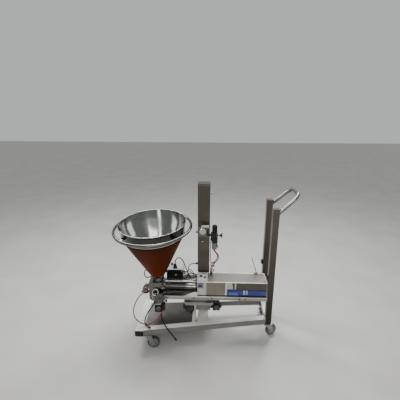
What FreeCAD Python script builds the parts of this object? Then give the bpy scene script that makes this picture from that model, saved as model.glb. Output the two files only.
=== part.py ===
"""Food depositor on a wheeled cart: a piston filler head with a cone hopper on a lift column.

Millimetres and degrees, +Z up, floor at z = 0. The lift column's axis stands at (column_x, column_y),
and every place below is measured from that axis. The origin is under the centre of the whole object.
+X runs from the hopper to the push handle, and -Y is the side that the head hangs on.
"""

import FreeCAD, Part
import math
import os
import re
import types

import Sketcher

from FreeCAD import Placement, Rotation, Vector

os.makedirs("parts", exist_ok=True)
doc = FreeCAD.newDocument("FoodDepositor")

# Driving sizes

SIZES = {
    # casters
    "wheel_diameter": 80,
    "wheel_width": 24,
    "axle_diameter": 10,
    "axle_gap": 0.06,
    "caster_height": 105,
    "caster_plate_side": 58,
    "caster_plate_thick": 3,
    "caster_trail": 30,
    "fork_leg": 3,
    "fork_side_gap": 2.5,
    "fork_crown_radius": 24,
    "swivel_gap": 0.4,
    "kingpin_diameter": 12,
    "kingpin_gap": 0.06,
    "caster_front_x": -352,
    "caster_inset": 30,
    # base frame
    "rail_height": 40,
    "rail_width": 40,
    "rail_wall": 2.5,
    "front_rail_width": 52,
    "front_x": -382,
    "front_near_y": -278,
    "front_far_y": 61,
    "near_front_y": -272,
    "near_rear_y": -130,
    "plug_head": 3,
    "plug_depth": 12,
    "deck_sheet": 3,
    "deck_rear_x": -72,
    "edge_rail_width": 20,
    "cross_rail_width": 70,
    # posts and push handle
    "post_x": 428,
    "post_side": 40,
    "post_wall": 2.5,
    "post_top": 927,
    "post_spread": 106,
    "cap_thick": 4,
    "handle_diameter": 24,
    "handle_low_z": 902,
    "handle_high_z": 1014,
    "handle_reach": 119,
    "handle_grip_half": 92,
    "handle_corner": 52,
    # lift column
    "column_side": 70,
    "column_wall": 4,
    "column_length": 785,
    "slide_gap": 1,
    "sleeve_wall": 4,
    "sleeve_length": 884,
    "sleeve_cap_thick": 3,
    "collar_lift": 3,
    "collar_height": 30,
    "collar_wall": 13,
    "collar_slit": 6,
    "ear_length": 62,
    "ear_thick": 24,
    "ear_height": 84,
    "strut_diameter": 32,
    "strut_bore": 22,
    "strut_length": 520,
    "strut_rod_diameter": 12,
    "strut_gap": 0.06,
    "strut_guide": 16,
    # lock knob
    "screw_diameter": 12,
    "screw_gap": 0.06,
    "screw_x": 92,
    "screw_z": 208,
    "knob_diameter": 76,
    "knob_depth": 26,
    "knob_hub_diameter": 30,
    "knob_hub_length": 36,
    "knob_lobes": 6,
    # head
    "head_y": -105,
    "axis_z": 372,
    "bracket_left_x": -127,
    "bracket_right_x": 68,
    "bracket_front_y": -150,
    "bracket_low_z": 255,
    "bracket_thick": 25,
    "bracket_chamfer": 13,
    "riser_inset": 18,
    "bracket_wall": 6,
    "tray_left_x": -267,
    "tray_front_y": -175,
    "tray_back_y": -42,
    "tray_low_z": 317,
    "tray_height": 27,
    "tray_wall": 3,
    "housing_left_x": -37,
    "post_gap": 10,
    "housing_width": 120,
    "housing_height": 125,
    "housing_wall": 3,
    # air cylinder
    "air_start_x": 8,
    "air_bore": 80,
    "air_wall": 5,
    "air_cap": 14,
    "air_piston_thick": 20,
    "piston_gap": 0.08,
    "piston_end_gap": 3,
    # product cylinder
    "stroke": 160,
    "product_bore": 54,
    "product_wall": 3,
    "product_length": 207,
    "product_piston_thick": 24,
    "rod_diameter": 20,
    "rod_gap": 0.06,
    "end_plate_side": 80,
    "end_plate_thick": 14,
    "tie_rod_diameter": 10,
    "tie_rod_spread": 32,
    # product valve
    "valve_width": 86,
    "valve_depth": 90,
    "valve_low_z": 300,
    "valve_high_z": 420,
    "spool_diameter": 56,
    "spool_gap": 0.08,
    "spool_journal": 14,
    "spool_chord": 10,
    "port_bore": 30,
    "neck_shift": 14,
    "inlet_stub": 16,
    "front_port_x": -325,
    "front_port_z": 326,
    "front_port_length": 22,
    "cover_x": -283,
    "cover_z": 329,
    "cover_diameter": 66,
    "cover_thick": 13,
    "cover_gap": 1.5,
    "cover_neck_x": -285,
    "cover_neck_diameter": 24,
    "outlet_diameter": 38,
    "outlet_wall": 2,
    "outlet_bend": 34,
    "outlet_lead": 2,
    "outlet_drop": 16,
    "clamp_diameter": 52,
    "clamp_width": 12,
    "actuator_width": 64,
    "actuator_depth": 58,
    "actuator_height": 60,
    "stem_diameter": 16,
    "stem_gap": 0.06,
    "stem_length": 24,
    # blocks that hang under the valve and the tray
    "foot_x": -303,
    "foot_width": 40,
    "foot_depth": 56,
    "foot_height": 34,
    "seat_thick": 9,
    "pilot_width": 44,
    "pilot_depth": 50,
    "pilot_height": 61,
    "fitting_diameter": 13,
    "fitting_length": 8,
    "seat_overhang": 2,
    "seat_reach": 20,
    "port_recess_diameter": 16,
    "port_recess_depth": 10,
    "port_recess_shift": 4,
    "port_recess_lift": 28,
    "manifold_width": 24,
    "manifold_depth": 30,
    "manifold_height": 50,
    "manifold_inset": 2,
    "manifold_lift": 10,
    "collet_inset": 7,
    "collet_shift": 12,
    "collet_lift": 27,
    "collet_pitch": 27,
    "loop_fitting_length": 12,
    "loop_fitting_near": 34,
    "loop_fitting_z": 350,
    "air_valve_x": -86,
    "air_valve_width": 54,
    "air_valve_depth": 44,
    "air_valve_height": 50,
    "air_valve_inset": 4,
    "air_valve_cap_diameter": 34,
    "air_valve_cap_length": 20,
    "drain_cap_diameter": 18,
    "drain_cap_length": 26,
    "drain_cap_shift": 8,
    "vent_slot_width": 16,
    "vent_slot_depth": 6,
    "vent_slot_height": 7,
    "vent_slot_left": 22,
    "vent_slot_drop": 22,
    # hopper
    "lean_left": 2.7,
    "lean_near": 4.7,
    "hopper_base_z": 437.6,
    "hopper_neck_radius": 34,
    "hopper_neck_end": 8,
    "hopper_neck_start": -5,
    "hopper_cone_radius": 196,
    "hopper_cone_length": 330,
    "hopper_rim_radius": 210,
    "hopper_length": 408,
    "hopper_wall": 2,
    "rim_bead": 4,
    "ring_radius": 241,
    "ring_tube": 9,
    "ring_drop": 36,
    "ring_lugs": 4,
    "lug_width": 30,
    "lug_thick": 6,
    "jacket_thick": 4,
    "jacket_start": 26,
    "jacket_end": 318,
    "jacket_gap": 0.2,
    # air service set on the column
    "service_y": -60,
    "service_block_width": 72,
    "service_block_depth": 35,
    "service_block_low_z": 722,
    "service_block_height": 68,
    "inlet_bore": 11,
    "inlet_wall": 4,
    "inlet_length": 14,
    "regulator_x": 72,
    "regulator_width": 40,
    "regulator_low_z": 681,
    "regulator_height": 56,
    "regulator_knob_diameter": 27,
    "regulator_knob_length": 56,
    "bowl_diameter": 34,
    "bowl_length": 48,
    "small_shaft_diameter": 8,
    "small_gap": 0.06,
    "small_clearance": 0.5,
    "tee_length": 27,
    "tee_span": 30,
    # control box
    "box_left_x": -262,
    "box_width": 115,
    "box_front_y": 10,
    "box_back_y": 140,
    "box_low_z": 345,
    "box_height": 85,
    "box_wall": 2.5,
    "lid_thick": 5,
    "arm_width": 20,
    "arm_height": 30,
    "arm_low_z": 360,
    "gland_diameter": 15,
    "gland_length": 14,
    "front_gland_x": 57,
    "front_gland_y": 30,
    "rear_gland_x": 30,
    "rear_gland_y": 72,
    "side_gland_y": 30,
    "side_gland_z": 55,
    "sleeve_gland_y": -12,
    "sleeve_gland_z": 495,
    "lower_gland_z": 357,
    "housing_gland_x": 53,
    "housing_gland_y": -62,
    # stay with its clamp on the housing
    "stay_diameter": 5,
    "stay_clamp_x": 72,
    "stay_clamp_y": -60,
    "stay_clamp_width": 26,
    "stay_clamp_depth": 12,
    "stay_clamp_height": 10,
    "stay_rise": 121,
    "stay_knee": 40,
    "stay_lean": 38,
    # cords
    "hose_diameter": 8,
    "red_tube_diameter": 7,
    "red_hose_diameter": 6,
    "cable_diameter": 7,
    "hose_fitting_diameter": 13,
    "hose_fitting_length": 16,
}

# Places worked out from the driving sizes

PLACES = {
    "lean_x": "-tan(lean_left) / sqrt(1 + tan(lean_left)^2 + tan(lean_near)^2)",
    "lean_y": "-tan(lean_near) / sqrt(1 + tan(lean_left)^2 + tan(lean_near)^2)",
    "lean_z": "1 / sqrt(1 + tan(lean_left)^2 + tan(lean_near)^2)",
    "ring_along": "hopper_length - ring_drop",
    "neck_x": "valve_x + neck_shift",
    "reach_left": "neck_x + ring_along * lean_x - ring_radius * sqrt(1 - lean_x^2) - ring_tube",
    "reach_right": "post_x + post_side + handle_reach + handle_diameter / 2",
    "reach_near": "head_y + ring_along * lean_y - ring_radius * sqrt(1 - lean_y^2) - ring_tube",
    "reach_far": "max(box_back_y; post_spread + caster_trail + wheel_diameter / 2)",
    "column_x": "-(reach_left + reach_right) / 2",
    "column_y": "-(reach_near + reach_far) / 2",
    "deck_top": "caster_height + rail_height",
    "near_slope": "(near_rear_y - near_front_y) / (post_x - front_x)",
    "far_slope": "(post_spread + post_side / 2 - front_far_y) / (post_x - front_x)",
    "near_skew": "sqrt(1 + near_slope^2)",
    "far_skew": "sqrt(1 + far_slope^2)",
    "near_caster_y": "near_front_y + near_slope * (caster_front_x - front_x) + rail_width * near_skew / 2",
    "front_rail_x": "front_x - front_rail_width / 2",
    "far_caster_y": "front_far_y - caster_inset",
    "post_mid_x": "post_x + post_side / 2",
    "sleeve_side": "column_side + 2 * slide_gap + 2 * sleeve_wall",
    "collar_bore": "column_side + 2 * slide_gap",
    "collar_side": "collar_bore + 2 * collar_wall",
    "collar_low_z": "deck_top + collar_lift",
    "sleeve_low_z": "collar_low_z + collar_height",
    "sleeve_top": "sleeve_low_z + sleeve_length",
    "strut_low_z": "caster_height + rail_height",
    "axle_z": "wheel_diameter / 2",
    "fork_top": "caster_height - caster_plate_thick - swivel_gap",
    "fork_half": "wheel_width / 2 + fork_side_gap",
    "housing_low_z": "tray_low_z + tray_wall",
    "housing_top": "housing_low_z + housing_height",
    "tray_right_x": "post_x - post_gap",
    "housing_right_x": "tray_right_x - tray_wall",
    "housing_length": "housing_right_x - housing_left_x",
    "housing_front_y": "head_y - housing_width / 2",
    "product_left_x": "housing_left_x - end_plate_thick - product_length",
    "valve_right_x": "product_left_x - end_plate_thick",
    "valve_x": "valve_right_x - valve_width / 2",
    "valve_left_x": "valve_right_x - valve_width",
    "valve_front_y": "head_y - valve_depth / 2",
    "valve_back_y": "head_y + valve_depth / 2",
    "product_piston_x": "product_left_x + piston_end_gap",
    "air_length": "2 * air_cap + stroke + air_piston_thick + 2 * piston_end_gap",
    "air_piston_x": "air_start_x + air_cap + piston_end_gap",
    "seat_z": "valve_low_z - foot_height - seat_thick",
    "pilot_z": "seat_z - pilot_height",
    "pilot_front_y": "valve_front_y",
    "pilot_right_x": "foot_x + pilot_width / 2",
    "outlet_x": "valve_left_x - outlet_lead - outlet_bend",
    "outlet_low_z": "axis_z - outlet_bend - outlet_drop",
    "service_top": "service_block_low_z + service_block_height",
    "sleeve_front_y": "-sleeve_side / 2",
}

WORD = re.compile(r"[a-z_][a-z0-9_]*")


def bound(text, own_sheet=""):
    """The expression with each alias written as a cell of its sheet."""

    def cell(match):
        word = match.group()
        if word in SIZES:
            return "Sizes." + word
        if word in PLACES and own_sheet != "Places":
            return "Places." + word
        return word

    return WORD.sub(cell, text)


def sheet_of(name, rows):
    sheet = doc.addObject("Spreadsheet::Sheet", name)
    for row, (alias, content) in enumerate(rows.items(), start=1):
        sheet.set(f"A{row}", alias.replace("_", " "))
        sheet.set(f"B{row}", str(content))
        sheet.setAlias(f"B{row}", alias)
    doc.recompute()
    return {alias: float(sheet.get(alias)) for alias in rows}


sheet_values = sheet_of("Sizes", SIZES)
sheet_values.update(sheet_of("Places", {key: "=" + bound(text, "Places") for key, text in PLACES.items()}))
size = types.SimpleNamespace(**sheet_values)

# Small helpers: every length and place is an expression on the sheets

NODES = []


def node(piece, label):
    """Registers a finished sub-part under the name that it is exported by."""
    piece.Label = label
    NODES.append(piece)
    return piece


def bind(piece, **cells):
    for name, text in cells.items():
        piece.setExpression(name, bound(text))


def place(piece, x="0", y="0", z="0"):
    """Places a piece from the column's axis."""
    piece.setExpression("Placement.Base.x", bound(f"column_x + ({x})"))
    piece.setExpression("Placement.Base.y", bound(f"column_y + ({y})"))
    piece.setExpression("Placement.Base.z", bound(z))
    return piece


def place_local(piece, x="0", y="0", z="0"):
    """Places a piece in the frame of the assembly that it will be a part of."""
    for axis, text in zip("xyz", (x, y, z)):
        piece.setExpression(f"Placement.Base.{axis}", bound(text))
    return piece


def block(name, length, width, height, x, y, z, put=place):
    """Box from its low corner."""
    box = doc.addObject("Part::Box", name)
    bind(box, Length=length, Width=width, Height=height)
    return put(box, x, y, z)


TURNS = {
    "x": Rotation(Vector(0, 1, 0), 90),
    "y": Rotation(Vector(1, 0, 0), -90),
    "z": Rotation(),
}


def rod(name, along, radius, length, x, y, z, put=place):
    """Cylinder that runs along +X, +Y or +Z from the middle of its first end."""
    bar = doc.addObject("Part::Cylinder", name)
    bar.Placement = Placement(Vector(), TURNS[along])
    bind(bar, Radius=radius, Height=length)
    return put(bar, x, y, z)


def fuse(name, *pieces):
    joined = doc.addObject("Part::MultiFuse", name)
    joined.Shapes = list(pieces)
    return joined


def cut(name, base, *tools):
    rest = doc.addObject("Part::Cut", name)
    rest.Base = base
    rest.Tool = tools[0] if len(tools) == 1 else fuse(name + "_tools", *tools)
    return rest


def group(name, *pieces):
    """Separate like solids that share one node."""
    gathered = doc.addObject("Part::Compound", name)
    gathered.Links = list(pieces)
    return gathered


def sketch_on(body, plane, lift="0"):
    sketch = body.newObject("Sketcher::SketchObject", f"{body.Name}_{plane}_sketch")
    base = next(part for part in body.Origin.OriginFeatures if part.Role == plane)
    sketch.AttachmentSupport = [(base, "")]
    sketch.MapMode = "FlatFace"
    sketch.setExpression("AttachmentOffset.Base.z", bound(lift))
    return sketch


def dimension(sketch, kind, start, text, *places):
    index = sketch.addConstraint(Sketcher.Constraint(kind, *places, start))
    sketch.setExpression(f"Constraints[{index}]", bound(text))


def polygon(sketch, points):
    """Closed outline whose corners are pairs of expressions."""
    first = sketch.GeometryCount
    count = len(points)
    turn = 2 * math.pi / count
    start = [Vector(10 * math.cos(turn * i), 10 * math.sin(turn * i), 0) for i in range(count)]
    for i in range(count):
        sketch.addGeometry(Part.LineSegment(start[i], start[(i + 1) % count]), False)
    for i in range(count):
        sketch.addConstraint(Sketcher.Constraint("Coincident", first + i, 2, first + (i + 1) % count, 1))
    for i, (across, up) in enumerate(points):
        dimension(sketch, "DistanceX", start[i].x, across, -1, 1, first + i, 1)
        dimension(sketch, "DistanceY", start[i].y, up, -1, 1, first + i, 1)


def circle(sketch, across, up, radius):
    index = sketch.addGeometry(Part.Circle(Vector(1, 1, 0), Vector(0, 0, 1), 5), False)
    dimension(sketch, "DistanceX", 1, across, -1, 1, index, 3)
    dimension(sketch, "DistanceY", 1, up, -1, 1, index, 3)
    dimension(sketch, "Radius", 5, radius, index)


def rectangle(left, low, right, high):
    return [(left, low), (right, low), (right, high), (left, high)]


def square(side):
    half = f"({side}) / 2"
    return rectangle("-" + half, "-" + half, half, half)


def padded(name, plane, outlines, length, lift="0", holes=()):
    """Body padded from outlines on one of its own planes, along the plane's normal."""
    body = doc.addObject("PartDesign::Body", name)
    sketch = sketch_on(body, plane, lift)
    for outline in outlines:
        polygon(sketch, outline)
    for across, up, radius in holes:
        circle(sketch, across, up, radius)
    pad = body.newObject("PartDesign::Pad", name + "_pad")
    pad.Profile = sketch
    bind(pad, Length=length)
    return body


def pocketed(body, plane, outlines, depth, lift="0", holes=()):
    """Cuts outlines out of a body, along the plane's normal."""
    sketch = sketch_on(body, plane, lift)
    for outline in outlines:
        polygon(sketch, outline)
    for across, up, radius in holes:
        circle(sketch, across, up, radius)
    pocket = body.newObject("PartDesign::Pocket", sketch.Name + "_pocket")
    pocket.Profile = sketch
    pocket.Reversed = True
    bind(pocket, Length=depth)
    return body


def revolved(name, outline):
    """Body turned about its own +Z axis from an outline of radius and height pairs."""
    body = doc.addObject("PartDesign::Body", name)
    sketch = sketch_on(body, "XZ_Plane")
    polygon(sketch, outline)
    turned = body.newObject("PartDesign::Revolution", name + "_revolution")
    turned.Profile = sketch
    turned.ReferenceAxis = (sketch, ["V_Axis"])
    turned.Angle = 360
    return body


# Bent tubes and cords: straight runs joined by tangent arcs

CORNER_SHARE = 0.45


def bend_radius(before, corner, after, given):
    """Radius and turn of the arc at a corner: the given one, or as large as its two runs allow."""
    into = corner - before
    out = after - corner
    turn = into.getAngle(out)
    if given is None:
        given = CORNER_SHARE * min(into.Length, out.Length) / math.tan(turn / 2)
    return given, turn


def route_wire(points, corner_radius=None):
    edges = []
    radii = []
    length = 0
    start = points[0]
    for before, corner, after in zip(points, points[1:], points[2:]):
        radius, turn = bend_radius(before, corner, after, corner_radius)
        reach = radius * math.tan(turn / 2)
        into = (corner - before).normalize()
        out = (after - corner).normalize()
        first = corner - into * reach
        last = corner + out * reach
        middle = (out - into).normalize()
        summit = corner + middle * (radius / math.cos(turn / 2) - radius)
        edges.append(Part.LineSegment(start, first).toShape())
        edges.append(Part.Arc(first, summit, last).toShape())
        length += (first - start).Length + radius * turn
        radii.append(radius)
        start = last
    edges.append(Part.LineSegment(start, points[-1]).toShape())
    length += (points[-1] - start).Length
    return Part.Wire(edges), radii, length


def tube_shape(points, radius, corner_radius=None):
    wire, radii, length = route_wire(points, corner_radius)
    section = Part.Wire([Part.Circle(points[0], points[1] - points[0], radius).toShape()])
    return wire.makePipeShell([section], True, False), radii, length


def shaped(name, shape):
    """Piece whose shape is set whole, placed from the column's axis."""
    piece = doc.addObject("Part::Feature", name)
    piece.Shape = shape
    piece.Placement = Placement(Vector(size.column_x, size.column_y, 0), Rotation())
    return piece


def cord(name, diameter, route):
    """Free cord along its route, with its bends printed and its volume compared."""
    points = [Vector(*point) for point in route]
    shape, radii, length = tube_shape(points, diameter / 2)
    expected = math.pi * diameter**2 / 4 * length
    tightest = min(radii) / diameter
    print(f"{name}: {length:.0f} mm long, tightest bend {tightest:.1f} diameters")
    print("  radii", " ".join(f"{radius:.0f}" for radius in radii))
    if abs(shape.Volume / expected - 1) > 0.01:
        raise ValueError(f"{name}: volume {shape.Volume:.0f}, expected {expected:.0f}")
    return node(shaped(name, shape), name)


# Base frame


def near_line(x, inset):
    """Y of the near rail at x, inset from its outer face."""
    return f"near_front_y + near_slope * (({x}) - front_x) + ({inset}) * near_skew"


def far_line(x, inset):
    """Y of the far rail at x, inset from its outer face."""
    return f"front_far_y + far_slope * (({x}) - front_x) - ({inset}) * far_skew"


def side_rail(name, line):
    """Square tube between the front rail and its post, sheared to meet both."""
    ends = ("front_x", "post_x")

    def strip(outer, inner):
        outer_side = [(x, line(x, outer)) for x in ends]
        inner_side = [(x, line(x, inner)) for x in reversed(ends)]
        return outer_side + inner_side

    rail = padded(name, "XY_Plane", [strip("0", "rail_width")], "rail_height")
    hollow = strip("rail_wall", "rail_width - rail_wall")
    pocketed(rail, "XY_Plane", [hollow], "rail_height - 2 * rail_wall", lift="rail_wall")
    return place(rail, z="caster_height")


def cross_rail(name, left, right):
    """Tube across the base, its ends cut to the slant of the side rails."""

    def strip(low, high):
        near = [(low, near_line(low, "rail_width")), (high, near_line(high, "rail_width"))]
        far = [(high, far_line(high, "rail_width")), (low, far_line(low, "rail_width"))]
        return near + far

    rail = padded(name, "XY_Plane", [strip(left, right)], "rail_height")
    hollow = strip(f"{left} + rail_wall", f"{right} - rail_wall")
    pocketed(rail, "XY_Plane", [hollow], "rail_height - 2 * rail_wall", lift="rail_wall")
    return place(rail, z="caster_height")


def straight_rail(name, width, length, x, y):
    """Tube along Y: the XZ plane's normal is -Y, so it runs from y towards the near side."""
    outer = rectangle("0", "0", width, "rail_height")
    inner = rectangle("rail_wall", "rail_wall", f"{width} - rail_wall", "rail_height - rail_wall")
    rail = padded(name, "XZ_Plane", [outer, inner], length)
    return place(rail, x, y, "caster_height")


def base_frame():
    front_length = "front_far_y - front_near_y"
    front = straight_rail(
        "front_tube", "front_rail_width", front_length, "front_x - front_rail_width", "front_far_y",
    )
    node(front, "front_rail")
    sides = [side_rail("near_side_tube", near_line), side_rail("far_side_tube", far_line)]
    node(group("side_rails", *sides), "side_rails")
    post_gap = "2 * post_spread - post_side"
    crossings = [
        cross_rail("deck_edge_tube", "deck_rear_x", "deck_rear_x + edge_rail_width"),
        cross_rail("column_cross_tube", "-cross_rail_width / 2", "cross_rail_width / 2"),
        straight_rail("rear_cross_tube", "post_side", post_gap, "post_x", "post_spread - post_side / 2"),
    ]
    node(group("cross_rails", *crossings), "cross_rails")
    deck = [
        ("front_x", near_line("front_x", "rail_width")),
        ("deck_rear_x", near_line("deck_rear_x", "rail_width")),
        ("deck_rear_x", far_line("deck_rear_x", "rail_width")),
        ("front_x", far_line("front_x", "rail_width")),
    ]
    panel = padded("deck_panel", "XY_Plane", [deck], "deck_sheet")
    node(place(panel, z="deck_top - deck_sheet"), "deck_panel")


def rail_plugs():
    """Plugs with their spigots in the front rail's open ends."""
    plugs = []
    for side, head_y, spigot_y in (
        ("near", "front_near_y - plug_head", "front_near_y"),
        ("far", "front_far_y", "front_far_y - plug_depth"),
    ):
        head = block(
            f"plug_head_{side}", "front_rail_width", "plug_head", "rail_height",
            "front_x - front_rail_width", head_y, "caster_height",
        )
        spigot = block(
            f"plug_spigot_{side}", "front_rail_width - 2 * rail_wall", "plug_depth",
            "rail_height - 2 * rail_wall", "front_x - front_rail_width + rail_wall", spigot_y,
            "caster_height + rail_wall",
        )
        plugs.append(fuse(f"rail_plug_{side}", head, spigot))
    return plugs


def posts_and_caps():
    tubes = []
    caps = rail_plugs()
    for side, sign in (("near", "-"), ("far", "")):
        tube = [square("post_side"), square("post_side - 2 * post_wall")]
        post = padded(f"post_{side}", "XY_Plane", tube, "post_top - caster_height")
        tubes.append(place(post, "post_mid_x", f"{sign}post_spread", "caster_height"))
        caps.append(block(
            f"post_cap_{side}", "post_side", "post_side", "cap_thick",
            "post_x", f"{sign}post_spread - post_side / 2", "post_top",
        ))
    node(group("posts", *tubes), "handle_posts")
    node(group("caps", *caps), "tube_caps")


def push_handle():
    """One bent tube from post to post, its ends let into the posts' rear faces."""
    post_face = size.post_x + size.post_side
    grip_x = post_face + size.handle_reach
    half = size.handle_grip_half
    route = [
        Vector(post_face, -size.post_spread, size.handle_low_z),
        Vector(grip_x, -half, size.handle_high_z),
        Vector(grip_x, half, size.handle_high_z),
        Vector(post_face, size.post_spread, size.handle_low_z),
    ]
    into = (route[1] - route[0]).normalize()
    out = (route[3] - route[2]).normalize()
    lead = size.handle_diameter
    long_route = [route[0] - into * lead, route[1], route[2], route[3] + out * lead]
    tube = tube_shape(long_route, size.handle_diameter / 2, size.handle_corner)[0]
    depth = 4 * size.handle_diameter
    trim = Part.makeBox(
        depth, 4 * size.post_spread, 4 * depth,
        Vector(post_face - depth, -2 * size.post_spread, size.handle_low_z - 2 * depth),
    )
    node(shaped("push_handle", tube.cut(trim)), "push_handle")


# Casters

CASTERS = {
    "near_front": ("caster_front_x", "near_caster_y", 0),
    "far_front": ("front_rail_x", "far_caster_y", 15),
    "near_rear": ("post_mid_x", "-post_spread", 25),
    "far_rear": ("post_mid_x", "post_spread", 90),
}


def caster_plate(where, x, y):
    half = "caster_plate_side / 2"
    plate = block(
        f"caster_plate_{where}", "caster_plate_side", "caster_plate_side", "caster_plate_thick",
        f"{x} - {half}", f"{y} - {half}", "caster_height - caster_plate_thick",
    )
    hole = rod(
        f"caster_plate_hole_{where}", "z", "kingpin_diameter / 2 + kingpin_gap", "caster_plate_thick",
        x, y, "caster_height - caster_plate_thick",
    )
    return cut(f"caster_plate_bored_{where}", plate, hole)


def caster_fork(where):
    """Fork in its own frame: the kingpin's axis is Z and the wheel trails along +X."""
    crown = rod(
        f"fork_crown_{where}", "z", "fork_crown_radius", "fork_top - wheel_diameter - 5",
        "0", "0", "wheel_diameter + 5", place_local,
    )
    kingpin = rod(
        f"kingpin_{where}", "z", "kingpin_diameter / 2", "caster_plate_thick + swivel_gap",
        "0", "0", "fork_top", place_local,
    )
    legs = []
    shape = [
        ("-fork_crown_radius + 8", "wheel_diameter + 5"),
        ("caster_trail - axle_diameter", "axle_z - axle_diameter"),
        ("caster_trail + axle_diameter", "axle_z - axle_diameter"),
        ("caster_trail + axle_diameter", "axle_z + 4"),
        ("fork_crown_radius - 2", "wheel_diameter + 8"),
        ("fork_crown_radius - 2", "fork_top"),
        ("-fork_crown_radius + 8", "fork_top"),
    ]
    for side, start in (("near", "-fork_half"), ("far", "fork_half + fork_leg")):
        leg = padded(f"fork_leg_{side}_{where}", "XZ_Plane", [shape], "fork_leg")
        legs.append(place_local(leg, y=start))
    axle = rod(
        f"fork_axle_{where}", "y", "axle_diameter / 2", "2 * (fork_half + fork_leg + 4)",
        "caster_trail", "-fork_half - fork_leg - 4", "axle_z", place_local,
    )
    return fuse(f"fork_{where}", crown, kingpin, axle, *legs)


def caster_wheel(where):
    """Tyre bonded to its hub, bored to run on the axle; the hub stands proud of the tyre."""
    tyre = [
        ("axle_diameter / 2 + axle_gap", "-wheel_width / 2 - 1"),
        ("axle_diameter / 2 + 6", "-wheel_width / 2 - 1"),
        ("axle_diameter / 2 + 8", "-wheel_width / 2 + 3"),
        ("wheel_diameter / 2 - 12", "-wheel_width / 2 + 3"),
        ("wheel_diameter / 2 - 10", "-wheel_width / 2"),
        ("wheel_diameter / 2 - 3", "-wheel_width / 2"),
        ("wheel_diameter / 2", "-wheel_width / 2 + 4"),
        ("wheel_diameter / 2", "wheel_width / 2 - 4"),
        ("wheel_diameter / 2 - 3", "wheel_width / 2"),
        ("wheel_diameter / 2 - 10", "wheel_width / 2"),
        ("wheel_diameter / 2 - 12", "wheel_width / 2 - 3"),
        ("axle_diameter / 2 + 8", "wheel_width / 2 - 3"),
        ("axle_diameter / 2 + 6", "wheel_width / 2 + 1"),
        ("axle_diameter / 2 + axle_gap", "wheel_width / 2 + 1"),
    ]
    return revolved(f"wheel_{where}", tyre)


def casters():
    plates = []
    for where, (x, y, heading) in CASTERS.items():
        plates.append(caster_plate(where, x, y))
        turned = Rotation(Vector(0, 0, 1), heading)
        fork = caster_fork(where)
        fork.Placement = Placement(Vector(), turned)
        node(place(fork, x, y), f"caster_fork_{where}")
        wheel = caster_wheel(where)
        wheel.Placement = Placement(Vector(), turned.multiply(Rotation(Vector(1, 0, 0), 90)))
        ahead = f"caster_trail * cos({heading})"
        aside = f"caster_trail * sin({heading})"
        node(place(wheel, f"{x} + {ahead}", f"{y} + {aside}", "axle_z"), f"caster_wheel_{where}")
    node(group("caster_plates", *plates), "caster_plates")


# Lift column


def lift_column():
    tube = [square("column_side"), square("column_side - 2 * column_wall")]
    column = padded("inner_column", "XY_Plane", tube, "column_length")
    node(place(column, z="deck_top"), "inner_column")
    tube = [square("sleeve_side"), square("sleeve_side - 2 * sleeve_wall")]
    sleeve = place(padded("sleeve_tube", "XY_Plane", tube, "sleeve_length"), z="sleeve_low_z")
    half = "sleeve_side / 2"
    cap = block(
        "sleeve_cap", "sleeve_side", "sleeve_side", "sleeve_cap_thick",
        f"-{half}", f"-{half}", "sleeve_top",
    )
    node(fuse("sleeve", sleeve, cap), "column_sleeve")


def gas_strut():
    """Strut inside the column that carries most of the head's weight."""
    tube = rod("strut_tube_outer", "z", "strut_diameter / 2", "strut_length", "0", "0", "strut_low_z")
    bore = rod(
        "strut_tube_bore", "z", "strut_bore / 2", "strut_length - strut_guide - 6",
        "0", "0", "strut_low_z + 6",
    )
    guide = rod(
        "strut_guide_bore", "z", "strut_rod_diameter / 2 + strut_gap", "strut_length",
        "0", "0", "strut_low_z + 6",
    )
    node(cut("strut_tube", tube, bore, guide), "gas_strut_tube")
    foot = "strut_low_z + 10"
    shaft = rod(
        "strut_shaft", "z", "strut_rod_diameter / 2", f"sleeve_top - ({foot})", "0", "0", foot,
    )
    piston = rod("strut_piston", "z", "strut_bore / 2 - strut_gap", "12", "0", "0", foot)
    node(fuse("strut_rod", shaft, piston), "gas_strut_rod")


def clamp_collar():
    """Split collar under the sleeve, with two ears that the lock screw draws together."""
    half = "collar_side / 2"
    ring = block(
        "collar_block", "collar_side", "collar_side", "collar_height",
        f"-{half}", f"-{half}", "collar_low_z",
    )
    ears = block(
        "collar_ears", "ear_length", "2 * ear_thick + collar_slit", "ear_height",
        f"{half} - 2", "-ear_thick - collar_slit / 2", "collar_low_z",
    )
    bore = block(
        "collar_bore_tool", "collar_bore", "collar_bore", "collar_height",
        "-collar_bore / 2", "-collar_bore / 2", "collar_low_z",
    )
    slit = block(
        "collar_slit_tool", f"{half} + ear_length", "collar_slit", "ear_height",
        "column_side / 2", "-collar_slit / 2", "collar_low_z",
    )
    hole = rod(
        "collar_screw_hole", "y", "screw_diameter / 2 + screw_gap", "3 * ear_thick",
        "screw_x", "-1.5 * ear_thick", "screw_z",
    )
    node(cut("collar", fuse("collar_solid", ring, ears), bore, slit, hole), "clamp_collar")


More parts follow.
